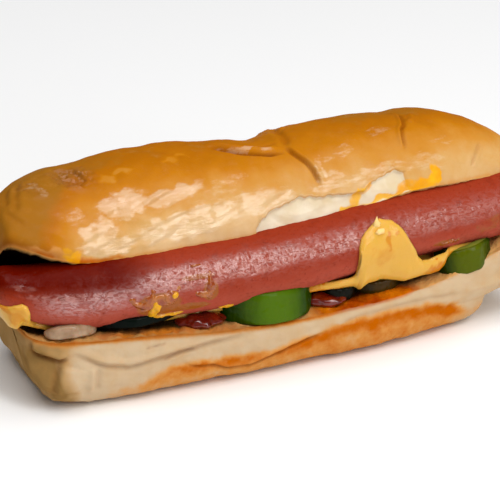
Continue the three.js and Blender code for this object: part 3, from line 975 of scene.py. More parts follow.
@dataclass
class UpperHalf(HalfLoaf):
    """The crown of the bun, tipped up about the uncut back edge.

    The blots say where the crust has glossy flakes of glaze, which also get a painted highlight, and where it
    has stains, toast, pale flecks, dents and wrinkles.
    The other fields are sizes, or a value by station x, distance s, height z or depth y.
    """

    lobes: tuple[Lobe, ...] = ()
    # Glossy flakes of glaze, which also get a painted highlight.
    gloss_and_highlight_blots: tuple[Blot, ...] = ()
    stains: tuple[Blot, ...] = ()
    toasts: tuple[Blot, ...] = ()
    flecks: tuple[Blot, ...] = ()
    dents: tuple[Blot, ...] = ()
    wrinkles: tuple[Blot, ...] = ()
    swell: Bumps = Bumps(0.32, 24.0, 11)
    dimples: Bumps = Bumps(0.12, 8.0, 12, 2)
    sunk: float = 0.12
    dent_depth: float = 1.0
    wrinkle_height: float = 0.5
    wrinkle_middle: float = 0.55
    wrinkle_size: float = 2.1
    wrinkle_stretch: tuple[float, float, float] = (1.0, 0.7, 0.6)
    streak_height: float = 0.14
    streak_size: float = 3.2
    cut_bumps: Bumps = Bumps(0.3, 4.0, 16)
    back_trim_y: Rise = Rise(0.3, 14.0, 9.0)
    top_trim_z: Rise = Rise(0.12, 54.0, 5.0)
    torn_line: Profile = Profile()
    torn_bend: Bumps = Bumps(0.75, 5.0, 61, 1)
    torn_fray: Bumps = Bumps(0.45, 4.0, 62)
    torn_starts: float = 0.8
    torn_stops: float = 3.0
    torn_blend: float = 0.9
    torn_edge: Lobe = Lobe(0.35, 0.45, 1.0)
    torn_depth: float = 0.7
    torn_lip: float = 0.9
    torn_bumps: Bumps = Bumps(0.22, 6.0, 15, 2)
    torn_toast: float = 0.12
    dark_wrinkles_x: Rise = Rise(0.2, -20.0, -10.0)
    rim_shadow_s: Lobe = Lobe(1.0, 1.6, 0.55)
    left_corner_x: Rise = Rise(1.0, -62.0, -8.0)
    wrinkle_gloss_and_highlight: float = 0.25
    torn_edge_gloss_and_highlight: float = 0.6
    back_stretch: float = 1.15
    back_start: float = 5.0
    bake_stray: Bumps = Bumps(1.6, 14.0, 21)
    bake_up: Profile = Profile((
        (1.0, 0.08), (5.0, 0.12), (9.0, 0.25), (13.0, 0.39), (17.0, 0.51), (22.0, 0.7), (30.0, 0.85),
    ))
    # The first rise darkens the left end as painted shade, where the end turns away from the light.
    bake_and_shade_along_x: tuple[Rise | Lobe, ...] = (
        Rise(0.9, -57.0, -19.0), Rise(0.1, 16.0, 20.0), Lobe(-56.0, 11.0, 0.14),
    )
    pale_waist_x: Lobe = Lobe(3.0, 14.0, 0.06)
    pale_waist_s: Rise = Rise(1.0, 11.0, 4.0)
    fleck_paleness: float = 0.3
    rim_toast_s: Lobe = Lobe(0.4, 0.8, 0.4)
    least_gloss: float = 0.3
    dull_top_s: Rise = Rise(0.6, 17.0, 8.0)
    dull_left_x: Rise = Rise(0.6, -66.0, -6.0)
    wrinkle_gloss: float = 0.8
    # Where the cut face is painted black as the shade of the gap: towards the left, and behind the rim.
    black_left_x: Rise = Rise(1.0, -30.0, -20.0)
    black_behind_s: Rise = Rise(1.0, 0.0, 1.5)

    def height_at(self, x: Array) -> Array:
        """Thickness at x: an even crown with lobes and a waist."""
        return self.depth + sum(lobe.at(x) for lobe in self.lobes)

    def place(self, x: Array, t: Array, width: Array, up: Array, tip: dict[str, Array]) -> Array:
        """Width runs along the cut and height stands square on it, both tapered towards the ends."""
        width = width * taper(t, self.side_power(t, self.plan_power))
        height = up * taper(t, self.side_power(t, self.crown_power)) * self.height_at(x)
        y = tip["y"] + width * tip["forward_y"] + height * np.abs(tip["forward_z"])
        z = tip["z"] + width * tip["forward_z"] + height * np.abs(tip["forward_y"])
        return np.stack([np.broadcast_to(x, y.shape), y, z], axis=-1)

    def torn(self, grid: Surface) -> tuple[Array, Array]:
        """Where the skin has come off above the rim: 1 below the torn line, and a bell along it."""
        x = grid.x + self.torn_bend.at(grid.points)
        edge = self.torn_line.at(x) + self.torn_fray.at(grid.points)
        first, last = self.torn_line.stops[0][0], self.torn_line.stops[-1][0]
        inside = smooth_step((x - first) / self.torn_starts) * smooth_step((last - x) / self.torn_stops)
        inside = inside * (1.0 - grid.cut)
        below = smooth_step((edge - grid.s) / self.torn_blend + 0.5)
        return below * inside, self.torn_edge.at(grid.s - edge) * inside

    def shaped(self, grid: Surface, marks: dict[str, Array]) -> Array:
        """How far each point stands out: folds, swellings, wrinkles, the torn area and the rough cut.

        Args:
            grid: The half's surface.
            marks: The folds' relief, and how strong the torn area, its edge, flakes and wrinkles are.

        Returns:
            The relief, which is calm at both ends.
        """
        points, crust = grid.points, 1.0 - grid.cut
        creased = ridges(points * self.wrinkle_stretch, self.wrinkle_size, 31) - self.wrinkle_middle
        relief = marks["folds"] + crust * (self.swell.at(points) + self.dimples.at(points) - self.sunk)
        relief = relief - self.dent_depth * blots(self.dents, grid.x, grid.s)
        relief = relief + self.wrinkle_height * marks["wrinkled"] * creased * crust
        relief = relief - self.torn_depth * marks["below"] + self.torn_lip * marks["edge"]
        relief = relief + marks["below"] * self.torn_bumps.at(points * [0.5, 1.0, 1.0])
        streaks = waves(points @ STREAK_AXES, self.streak_size, 41)
        relief = relief + self.streak_height * marks["gloss_and_painted_highlight"] * streaks
        relief = (relief + grid.cut * self.cut_bumps.at(points)) * smooth_step(grid.end / self.calm_end)
        return relief - crust * (self.back_trim_y.at(points[..., 1]) + self.top_trim_z.at(points[..., 2]))

    def baked_and_shaded(self, grid: Surface, ragged: tuple[Array, Array]) -> Array:
        """How brown each point is: by its distance from the nearer rim, by station with painted shade at the
        left end, and its pale flecks.
        """
        up = np.minimum(grid.s, (grid.total - grid.s) * self.back_stretch + self.back_start)
        bake = self.bake_up.at(up + self.bake_stray.at(grid.points))
        bake = bake + sum(part.at(grid.x) for part in self.bake_and_shade_along_x)
        bake = bake - self.pale_waist_x.at(grid.x) * self.pale_waist_s.at(grid.s)
        return bake - self.fleck_paleness * blots(self.flecks, *ragged)

    def build(self, finish: BreadFinish) -> None:
        """Makes the upper half's piece, with its folds, its torn skin and its stains."""
        grid = self.surface()
        x, s, crust = grid.x, grid.s, 1.0 - grid.cut
        folds, crease_and_shade = self.folded(grid)
        below, edge = self.torn(grid)
        ragged = self.ragged(grid)
        wrinkled = blots(self.wrinkles, *ragged)
        shadow = self.dark_wrinkles_x.at(x) * wrinkled + self.rim_shadow_s.at(s) * self.left_corner_x.at(x)
        gloss_and_painted_highlight = blots(self.gloss_and_highlight_blots, *ragged) * (1.0 - below) * crust
        # Wrinkles and the torn edge's lip get the flakes' gloss and their painted highlight too.
        gloss_and_painted_highlight = np.maximum(gloss_and_painted_highlight, np.maximum(self.wrinkle_gloss_and_highlight * wrinkled, self.torn_edge_gloss_and_highlight * edge))
        marks = {"folds": folds, "below": below, "edge": edge, "gloss_and_painted_highlight": gloss_and_painted_highlight, "wrinkled": wrinkled}
        greasy = self.least_gloss + (1.0 - self.least_gloss) * np.maximum(gloss_and_painted_highlight, wrinkled)
        greasy = greasy * (1.0 - self.dull_top_s.at(s) * (1.0 - wrinkled))
        greasy = (greasy * (1.0 - below) + below) * (1.0 - self.dull_left_x.at(x))
        toast = blots(self.toasts, *ragged) + self.torn_toast * edge + self.rim_toast_s.at(s) * crust
        values = {
            "bake": self.baked_and_shaded(grid, ragged),
            "crease_and_shade": clamp01(crease_and_shade + crust * shadow),
            "gloss_and_painted_highlight": gloss_and_painted_highlight,
            "crumb": below,
            "cut": grid.cut,
            "stain": blots(self.stains, *ragged) * crust,
            "toast": clamp01(toast),
            "soak": 0.0 * s,
            "glaze": crust * (greasy + self.wrinkle_gloss * wrinkled),
            "painted_gap_shade": grid.cut * self.black_left_x.at(x) * self.black_behind_s.at(s),
        }
        skin = self.skin(grid, self.shaped(grid, marks), values)
        install("bun_upper", [skin], finish.build(), "bun")


@dataclass
class Block:
    """The lower part of the bottom half, shorter than the rim above it."""

    left: float = -74.5
    right: float = 62.8
    height: tuple[float, float] = (6.0, 9.2)
    rim_height: tuple[float, float] = (17.0, 13.8)
    round_power: tuple[float, float] = (2.0, 1.05)
    plan_power: float = 12.0
    overdepth: float = 1.04
    inset: float = 1.1
    inset_from: float = 10.0
    inset_length: float = 45.0
    inset_reach: float = 20.0
    low_part: Rise = Rise(1.0, 0.25, 0.5)
    end_part: Rise = Rise(1.0, 0.25, 0.625)


@dataclass
class LowerHalf(HalfLoaf):
    """The base of the bun, which stands on its flat underside.

    Its fields are sizes, or a value by station x, distance s, height z, or depth below the band's top.
    """

    block: Block = field(default_factory=Block)
    # Blots of painted shade round the lower half's left corner.
    corner_shade: tuple[Blot, ...] = ()
    soaked: tuple[Blot, ...] = ()
    swell: Bumps = Bumps(0.3, 18.0, 51)
    dimples: Bumps = Bumps(0.1, 5.0, 52)
    cut_bumps: Bumps = Bumps(0.35, 4.0, 53)
    standing_z: Rise = Rise(1.0, 0.0, 1.2)
    base_z: Rise = Rise(1.0, 0.8, -0.8)
    base_toast: float = 0.8
    band_top: Profile = Profile()
    band_fray: Bumps = Bumps(0.45, 9.0, 54)
    band_strength_x: Profile = Profile((
        (-66.0, 0.0), (-52.0, 0.45), (-40.0, 0.8), (-5.0, 0.85), (4.0, 1.0), (60.0, 1.0), (68.0, 0.3),
    ))
    band_starts: Rise = Rise(1.0, -0.34, 3.4)
    band_fades: Rise = Rise(0.4, 3.0, 4.0)
    band_blotches: Bumps = Bumps(0.14, 6.0, 57)
    edge_s: Lobe = Lobe(0.0, 0.9, 1.0)
    edge_toast_x: Profile = Profile((
        (-78.0, 0.7), (-60.0, 0.9), (-25.0, 0.6), (-6.0, 0.9), (6.0, 0.8), (15.0, 0.15),
    ))
    edge_shadow_x: Rise = Rise(0.45, 30.0, -50.0)
    edge_soak: float = 0.6
    cut_toast_s: Lobe = Lobe(0.0, 3.0, 0.6)
    bake: float = 0.1
    base_bake: float = 0.5
    bake_blotches: Bumps = Bumps(0.1, 10.0, 55)
    # Darker round the left end: partly the crust's own olive brown, partly painted shade.
    left_end_bake_and_shade_x: Rise = Rise(0.7, -66.5, -5.5)
    # Painted light: the facet at the front of the left corner, where the light falls, is made paler.
    lit_corner_x: Lobe = Lobe(-66.5, 4.6, 0.45)
    lit_corner_s: Rise = Rise(1.0, 5.0, 3.0)
    dry_gloss: float = 0.1
    soaked_gloss: float = 0.9
    # Where the cut face is painted black as shade behind the fillings: from this distance behind the rim, and
    # not at the right end.
    black_from: Profile = Profile(((-72.0, 4.2), (-58.0, 3.0), (-34.0, 2.6), (10.0, 3.6)))
    black_behind: Rise = Rise(0.95, 0.0, 2.5)
    black_right_x: Rise = Rise(1.0, 60.0, 8.0)

    def place(self, x: Array, t: Array, width: Array, up: Array, tip: dict[str, Array]) -> Array:
        """The depth hangs from the sloping cut down to the flat base, and the block below is shorter."""
        block = self.block
        rim_power = self.side_power(t, self.plan_power)
        width = width * taper(t, rim_power + (block.plan_power - rim_power) * block.low_part.at(up))
        cut_z = tip["z"] + width * tip["forward_z"]
        depth = taper(t, self.side_power(t, self.crown_power))
        z = np.maximum(cut_z * (1.0 - up * depth * block.overdepth), 0.0)
        foot, head = self.side_power(t, block.height), self.side_power(t, block.rim_height)
        above_foot = clamp01((z - foot) / (head - foot))
        in_block = 1.0 - taper(1.0 - above_foot, self.side_power(t, block.round_power))
        end = np.where(t < 0.0, block.left / self.left, block.right / self.right)
        shorter = in_block * (1.0 - end) * block.end_part.at(np.abs(t))
        inset = block.inset * smooth_step((x - block.inset_from) / block.inset_length)
        y = tip["y"] + width * tip["forward_y"] + in_block * inset * clamp01(width / block.inset_reach)
        return np.stack([x * (1.0 - shorter), y, z], axis=-1)

    def shaped(self, grid: Surface, folds: Array) -> Array:
        """How far each point stands out: folds, swellings, the rough cut; calm at the ends and the base."""
        points, crust = grid.points, 1.0 - grid.cut
        relief = folds + crust * (self.swell.at(points) + self.dimples.at(points))
        relief = relief + grid.cut * self.cut_bumps.at(points)
        return relief * smooth_step(grid.end / self.calm_end) * self.standing_z.at(points[..., 2])

    def toasted(self, grid: Surface, base: Array) -> Array:
        """How toasted each point is: the band on the flank, the base, the rim and the front of the cut."""
        below_top = self.band_top.at(grid.x) + self.band_fray.at(grid.points) - grid.points[..., 2]
        band = self.band_starts.at(below_top) * self.band_strength_x.at(grid.x)
        band = band * (1.0 - self.band_fades.at(below_top)) * (1.0 + self.band_blotches.at(grid.points))
        toast = np.maximum(band, self.base_toast * base) * (1.0 - grid.cut)
        toast = toast + self.edge_s.at(grid.s) * self.edge_toast_x.at(grid.x)
        return clamp01(toast + grid.cut * self.cut_toast_s.at(grid.s))

    def baked_and_shaded(self, grid: Surface, base: Array) -> Array:
        """How brown each point is: little on the flanks, more on the base, with painted shade round the left
        end and its corner and painted light on the facet at that corner.
        """
        bake = self.bake + self.base_bake * base + self.bake_blotches.at(grid.points)
        bake = bake + self.left_end_bake_and_shade_x.at(grid.x) + blots(self.corner_shade, grid.x, grid.s)
        return bake - self.lit_corner_x.at(grid.x) * self.lit_corner_s.at(grid.s)

    def build(self, finish: BreadFinish) -> None:
        """Makes the lower half's piece, with its folds, its toasted band and its soaked cut."""
        grid = self.surface()
        x, s, cut = grid.x, grid.s, grid.cut
        folds, crease_and_shade = self.folded(grid)
        base, at_edge = self.base_z.at(grid.points[..., 2]), self.edge_s.at(s)
        soaked = blots(self.soaked, *self.ragged(grid))
        values = {
            "bake": self.baked_and_shaded(grid, base),
            "crease_and_shade": clamp01(crease_and_shade + at_edge * self.edge_shadow_x.at(x)),
            "gloss_and_painted_highlight": 0.0 * s,
            "crumb": 0.0 * s,
            "cut": cut,
            "stain": 0.0 * s,
            "toast": self.toasted(grid, base),
            "soak": soaked * np.maximum(cut, self.edge_soak * at_edge),
            "glaze": self.dry_gloss * (1.0 - cut) + self.soaked_gloss * soaked * cut,
            "painted_gap_shade": cut * self.black_behind.at(s - self.black_from.at(x)) * (1.0 - self.black_right_x.at(x)),
        }
        skin = self.skin(grid, self.shaped(grid, folds), values)
        install("bun_lower", [skin], finish.build(), "bun")


# ---------- the sausage and what lies on it ----------


@dataclass(frozen=True)
class SausageShape:
    """The sausage: a bowed rod with rounded ends whose ends rise."""

    left: float = -86.0
    right: float = 86.5
    radius: float = 9.8
    y: float = -18.0
    z: float = 30.1
    tip_lengths: tuple[float, float] = (6.0, 14.0)
    tip_power: float = 2.2
    neck_share: float = 0.3
    neck_from: float = -62.0
    neck_length: float = 22.0
    rises: tuple[Rise, ...] = (Rise(4.4, -58.0, -27.0, RiseKind.POWER), Rise(3.3, -22.0, 66.0))

    def axis(self, x: Array) -> tuple[Array, Array]:
        """The middle's y and z at x."""
        return self.y + BOW.at(x), self.z + sum(rise.at(x) for rise in self.rises)

    def radius_at(self, x: Array) -> Array:
        """Radius at x: thinner towards the left end, and a superellipse over the length of each tip."""
        before, after = self.tip_lengths
        left_tip = taper(clamp01((self.left + before - x) / before), self.tip_power)
        right_tip = taper(clamp01((x - self.right + after) / after), self.tip_power)
        neck = 1.0 - self.neck_share * smooth_step((self.neck_from - x) / self.neck_length)
        return self.radius * neck * left_tip * right_tip

    def at(self, x: Array, angle: Array, height: Array) -> Array:
        """The place at x, at an angle in degrees from the back over the top, height mm above the skin."""
        y, z = self.axis(x)
        radius = self.radius_at(x) + height
        turn = np.radians(angle)
        return np.stack(np.broadcast_arrays(x, y + radius * np.cos(turn), z + radius * np.sin(turn)), axis=-1)


SAUSAGE = SausageShape()
MM_PER_DEGREE = 0.17


@dataclass(frozen=True)
class Blister:
    """A small ring or bead on the skin: its place, the ring's radius (0 for a bead), its width and height."""

    x: float
    angle: float
    radius: float
    width: float
    rise: float

    def at(self, x: Array, angle: Array) -> Array:
        """Its height at each place: a bell of the distance to the ring."""
        away = np.hypot(x - self.x, (angle - self.angle) * SAUSAGE.radius * math.pi / 180.0)
        return self.rise * hump((away - self.radius) / self.width)


@dataclass
class Sausage:
    """The sausage's piece."""

    shape: SausageShape = SAUSAGE
    stations: int = 420
    around: int = 150
    sauces: tuple[Blot, ...] = ()
    wets: tuple[Blot, ...] = ()
    scratched: tuple[Blot, ...] = ()
    blisters: tuple[Blister, ...] = ()
    calm_tips: Rise = Rise(1.0, 3.0 / 14.0, 5.0 / 7.0)
    swell: Bumps = Bumps(0.12, 16.0, 72)
    pores: Bumps = Bumps(0.05, 2.4, 73)
    wrinkle_stretch: tuple[float, float, float] = (1.2, 1.0, 0.8)
    wrinkle_middle: float = 0.5
    wrinkle_size: float = 2.6
    wrinkle_height: float = 0.04
    wet_wrinkle_height: float = 0.18
    scratch_height: float = 0.12
    scratch_waves: tuple[float, float, float] = (2.2, 1.1, 2.6)
    scratch_bend: float = 1.5
    scratch_bend_size: float = 6.0
    scratch_wetness: float = 0.8
    # Browner above and pinker below, partly as painted shade under the bun's lip.
    under_angle: Rise = Rise(1.0, 160.0, 62.0)
    sheen_line: Profile = Profile(((-72.0, 178.0), (-45.0, 161.0), (-28.0, 153.0)))
    sheen_band: Lobe = Lobe(0.0, 21.0, 1.0)
    sheen_from_x: Rise = Rise(1.0, -80.0, 14.0)
    sheen_fades_x: Rise = Rise(0.75, -58.0, 36.0)
    shade_x: Rise = Rise(1.0, -36.0, -20.0)
    shade_angle: Rise = Rise(1.0, 140.0, 45.0)

    def relief(self, points: Array, x: Array, angle: Array, wet: Array, scratched: Array) -> Array:
        """How far each point stands out: swellings, wrinkles, deeper where it is wet, scratches, blisters."""
        wrinkles = ridges(points * self.wrinkle_stretch, self.wrinkle_size, 71) - self.wrinkle_middle
        relief = self.swell.at(points) + self.pores.at(points)
        relief = relief + (self.wrinkle_height + self.wet_wrinkle_height * wet) * wrinkles
        bend = self.scratch_bend * waves(points, self.scratch_bend_size, 74)
        grooves = np.sin(points @ np.array(self.scratch_waves) + bend)
        relief = relief + self.scratch_height * scratched * grooves
        return relief + sum(blister.at(x, angle) for blister in self.blisters)

    def build(self, finish: SausageFinish) -> None:
        """Makes the sausage with its fine wrinkles, scratches and small blisters."""
        shape = self.shape
        reach, middle = (shape.right - shape.left) / 2, (shape.right + shape.left) / 2
        t = even_places(self.stations, reach, lambda v: shape.radius_at(middle + reach * v))[1:-1, None]
        x = middle + reach * t
        angle = np.linspace(0.0, 360.0, self.around, endpoint=False)[None, :]
        points = shape.at(x, angle, np.zeros_like(x * angle))
        wet, scratched = blots(self.wets, x, angle), blots(self.scratched, x, angle)
        relief = self.relief(points, x, angle, wet, scratched)
        relief = relief * self.calm_tips.at(shape.radius_at(x) / shape.radius)
        points = points - ring_normals(points) * relief[..., None]
        # Where the painted sheen lies: a band about a line on the lower left.
        pale = self.sheen_band.at(angle - self.sheen_line.at(x))
        values = {
            "under": self.under_angle.at(angle) + 0.0 * x,
            "painted_sheen": pale * self.sheen_from_x.at(x) * (1.0 - self.sheen_fades_x.at(x)),
            "shade": self.shade_x.at(x) * (1.0 - self.shade_angle.at(angle)),
            "sauce": blots(self.sauces, x, angle),
            "wet": np.maximum(wet, self.scratch_wetness * scratched),
        }
        ends = [shape.at(*np.array([[end], [0.0], [0.0]]))[0] for end in (shape.left, shape.right)]
        skin = Skin(points, ends[0], ends[1], values)
        install("sausage_link", [skin], finish.build(), "sausage")


@dataclass
class CheeseSheet:
    """The melted slice around the sausage's lower front, with a tongue hanging over it.

    Attributes:
        rim: Angle in degrees at which the slice ends on the sausage's front, by station.
        hang: How far it hangs off the sausage, by station; drip is its share, by angle.
        edge: Half of the thickness that is left at the very edge.
        round_width: Width over which the edge is rounded.
        stand_off: Gap between the sausage and the slice, which the contact takes away where it hangs little.
        wobble: Height of the edge's waves in degrees; wobble_size is their length in millimetres.
        fine_steps: Places at which the rim is measured before it is divided evenly.
    """

    left: float = -85.0
    right: float = 63.5
    thickness: float = 1.18
    edge: float = 0.09
    round_width: float = 1.3
    stand_off: float = 0.35
    contact: Lobe = Lobe(0.0, 0.6, 0.9)
    back_angle: float = 318.0
    rim: Profile = Profile()
    hang: Profile = Profile()
    drip: Lobe = Lobe(238.0, 22.0, 1.0)
    greases: tuple[Blot, ...] = ()
    wobble: float = 0.6
    wobble_size: float = 5.0
    sag: Bumps = Bumps(0.12, 9.0, 82)
    stray_x: Bumps = Bumps(0.8, 4.0, 83)
    stray_angle: Bumps = Bumps(6.0, 4.5, 84)
    clean_edge: Lobe = Lobe(0.0, 0.9, 0.25)
    stations: int = 640
    rows: int = 74
    fine_steps: int = 6001

    def even_stations(self, per_degree: float) -> Array:
        """Stations at equal steps along the slice's rim."""
        fine = np.linspace(self.left, self.right, self.fine_steps)
        steps = np.hypot(np.diff(fine), np.diff(self.rim.at(fine)) * per_degree)
        along = np.concatenate([[0.0], np.cumsum(steps)])
        return np.interp(np.linspace(0.0, along[-1], self.stations), along, fine)[:, None]

    def from_edge(self, x: Array, v: Array, edge_v: Array, back_v: float) -> Array:
        """Distance of each point to the slice's outline, on the unrolled sausage, where v is the arc."""
        distance = np.minimum(np.minimum(x - self.left, self.right - x), back_v - v)
        for place_x, place_v in zip(x[::2, 0], edge_v[::2, 0]):
            distance = np.minimum(distance, np.hypot(x - place_x, v - place_v))
        return distance

    def build(self, finish: CheeseFinish) -> None:
        """Makes the slice: front and back face stand off the sausage, and the edge is a quarter circle."""
        per_degree = math.pi / 180 * (SAUSAGE.radius + 1.0)
        x = self.even_stations(per_degree)
        top = self.rim.at(x)
        rows = np.linspace(0.0, 1.0, self.rows)[None, :]
        outline = np.concatenate([x, top * per_degree], axis=1)
        wobble = self.wobble * waves(outline, self.wobble_size, 81)[:, None]
        angle = top + wobble + (self.back_angle - top) * rows
        edge, back = (top + wobble) * per_degree, self.back_angle * per_degree
        distance = self.from_edge(x, angle * per_degree, edge, back)
        rounding = np.sqrt(clamp01(1.0 - (1.0 - clamp01(distance / self.round_width)) ** 2))
        droop = self.hang.at(x) * self.drip.at(angle)
        spots = np.stack(np.broadcast_arrays(x, angle * per_degree, 0.0 * x), axis=-1)
        thick = self.edge + (self.thickness - self.edge + self.sag.at(spots)) * rounding
        front = SAUSAGE.at(x, angle, self.stand_off + droop + thick)
        behind = SAUSAGE.at(x, angle, self.stand_off + droop - self.contact.at(droop))
        points = np.concatenate([front, behind[:, ::-1]], axis=1)
        ragged = x + self.stray_x.at(spots), angle + self.stray_angle.at(spots)
        grease = blots(self.greases, *ragged) - self.clean_edge.at(distance)
        grease = np.concatenate([grease, grease[:, ::-1]], axis=1)
        skin = Skin(points, points[0].mean(axis=0), points[-1].mean(axis=0), {"grease": grease})
        install("cheese_slice", [skin], finish.build(), "cheese")


@dataclass(frozen=True)
class Smear:
    """A thin film on the sausage: x and angle of its middle, half its size in mm and degrees, its height."""

    x: float
    angle: float
    half_x: float
    half_angle: float
    height: float
    turn: float = 0.0
    ragged: float = 0.5
    seed: int = 0
    reach: float = 1.7
    fray_size: float = 4.2
    lump_size: float = 2.4
    lump_share: float = 0.35
    dip: float = 0.4
    floor: float = 0.9
    last_part: float = 0.06
    blend: float = 0.9
    steps: tuple[int, int] = (90, 70)

    def skin(self) -> Skin:
        """The film as a closed lens. Its rim dips below the sausage's skin, along a ragged outline."""
        u = np.linspace(-self.reach, self.reach, self.steps[0])[:, None]
        v = np.linspace(-self.reach, self.reach, self.steps[1])[None, :]
        x, angle = self.x + self.half_x * u + 0 * v, self.angle + self.half_angle * v + 0 * u
        spots = np.stack([x, angle * MM_PER_DEGREE, 0 * x], axis=-1)
        c, n = math.cos(math.radians(self.turn)), math.sin(math.radians(self.turn))
        fray = self.ragged * unevenness(spots, self.fray_size, 90 + self.seed, 2)
        film = smooth_step((OVAL_REACH - np.hypot(u * c + v * n, v * c - u * n) - fray) / self.blend)
        lumps = 1 + self.lump_share * unevenness(spots, self.lump_size, 95 + self.seed, 2)
        above = film * self.height * lumps - self.dip * (1 - film)
        from_rim = 1 - np.maximum(np.abs(u), np.abs(v)) / self.reach
        above = np.where(from_rim < self.last_part, np.minimum(above, -self.dip), above)
        outer, inner = SAUSAGE.at(x, angle, above), SAUSAGE.at(x, angle, -self.floor + 0 * x)
        points = np.concatenate([outer, inner[:, ::-1]], axis=1)
        grease = np.concatenate([1 - film, 1 - film[:, ::-1]], axis=1)
        return Skin(points, points[0].mean(axis=0), points[-1].mean(axis=0), {"grease": grease})


# ---------- the vegetables and the ketchup ----------


@dataclass(frozen=True)
class RingSlice:
    """A stretch of a ring cut from a pepper or an onion, its ends rounded off.

    Attributes:
        name: Name of the CAD node that it stands for.
        x, y, z: Middle of the ring.
        radius: Outer radius.
        wall: Thickness of the wall.
        height: Height of the slice.
        start, stop: Angles between which the stretch runs, in degrees.
        tilt: How far it tips forwards, in degrees.
        roll: How far it tips sideways, in degrees.
        ribs: Height of the outside's waves.
        seed: Seed of its unevenness.
        section: Power of its section's superellipse.
        cap: Length of its rounded ends, as a share of the wall.
    """

    name: str
    x: float
    y: float
    z: float
    radius: float
    wall: float
    height: float
    start: float
    stop: float
    tilt: float
    roll: float
    ribs: float = 0.25
    seed: int = 0
    section: float = 6.0
    cap: float = 0.14
    cap_least: float = 0.05
    rib_count: float = 7.0
    warp: float = 0.3
    warp_count: float = 3.0
    skin_from: Rise = Rise(1.0, 0.35, 0.35)
    skin_ends: Rise = Rise(1.0, 0.6, 0.3)
    # Painted light: the middle of the stretch, which faces the light, is lighter than its ends.
    painted_lit_middle: Lobe = Lobe(0.5, 0.27, 1.0)
    steps: int = 150
    sides: int = 72

    def skin(self) -> Skin:
        """The stretch as a tube with a rounded oblong section that closes at both ends."""
        share = np.linspace(0.0, 1.0, self.steps)[:, None]
        angle = np.radians(self.start + (self.stop - self.start) * share)
        middle = self.radius - self.wall / 2
        length = middle * math.radians(self.stop - self.start)
        from_end = clamp01(np.minimum(share, 1 - share) * length / (self.wall * self.cap))
        cap = self.cap_least + (1 - self.cap_least) * np.sqrt(clamp01(1 - (1 - from_end) ** 2))
        turn = (np.arange(self.sides) + 0.5)[None, :] * 2 * math.pi / self.sides
        across, up = superellipse(turn, self.wall / 2, self.height / 2, self.section)
        outwards = across / (self.wall / 2)
        rib = self.ribs * np.sin(angle * self.rib_count + self.seed) * clamp01(outwards)
        wide = middle + across * cap + rib
        local = np.stack([wide * np.cos(angle), wide * np.sin(angle), up * cap], axis=-1)
        local[..., 2] += self.warp * np.sin(angle * self.warp_count + self.seed)
        a, b = math.radians(-self.tilt), math.radians(self.roll)
        tip = np.array([[1, 0, 0], [0, math.cos(a), -math.sin(a)], [0, math.sin(a), math.cos(a)]])
        lean = np.array([[math.cos(b), 0, math.sin(b)], [0, 1, 0], [-math.sin(b), 0, math.cos(b)]])
        points = local @ (tip @ lean).T + [self.x, self.y, self.z]
        swell = Bumps(0.12, 5.0, 100 + self.seed).at(points)
        points = points + swell[..., None] * (local / self.radius)
        outside = self.skin_from.at(outwards) * self.skin_ends.at(cap)
        values = {"skin": outside, "painted_lit_middle": self.painted_lit_middle.at(share) + 0.0 * outside}
        return Skin(points, points[0].mean(axis=0), points[-1].mean(axis=0), values)


@dataclass(frozen=True)
class Dab:
    """A heap of ketchup: an uneven flattened ball."""

    name: str
    x: float
    y: float
    z: float
    length: float
    depth: float
    height: float
    seed: int = 0

    def skin(self) -> Skin:
        """The heap as rings from one end to the other, swollen and sunk by smooth unevenness."""
        unit = ball(90, 110)
        size = np.array([self.length, self.depth, self.height]) / 2
        swell = 1.0 + Bumps(0.12, 6.0, 120 + self.seed, 2).at(unit * size)
        centre = np.array([self.x, self.y, self.z])
        points = unit * size * swell[..., None] + centre
        ends = [centre + [side * self.length / 2, 0, 0] for side in (-1, 1)]
        return Skin(points, ends[0], ends[1])


@dataclass(frozen=True)
class Bit:
    """A small scrap on the sausage: its x, its angle, its height over the skin and its half sizes."""

    x: float
    angle: float
    height: float
    half: tuple[float, float, float]
    seed: int = 0
    point: float = 0.0

    def skin(self) -> Skin:
        """The scrap as a small lumpy ball whose width shrinks upwards by the share of its point."""
        unit = ball(20, 28)
        swell = 1.0 + Bumps(0.22, 1.6, 140 + self.seed).at(unit)
        centre = SAUSAGE.at(*np.array([[self.x], [self.angle], [self.height]]))[0]
        half = np.array(self.half)
        narrow = 1.0 - self.point * (unit[..., 2:] + 1.0) / 2.0
        narrow = np.concatenate([narrow, narrow, np.ones_like(narrow)], axis=-1)
        points = unit * half * swell[..., None] * narrow + centre
        grease = np.zeros(points.shape[:2])
        return Skin(points, centre - [half[0], 0, 0], centre + [half[0], 0, 0], {"grease": grease})


# ---------- the studio ----------


@dataclass(frozen=True)
class Lamp:
    """A soft box: where it stands, in degrees from the front and in mm, its sides and its power in watts."""

    name: str
    azimuth: float
    elevation: float
    distance: float
    size: tuple[float, float]
    power: float


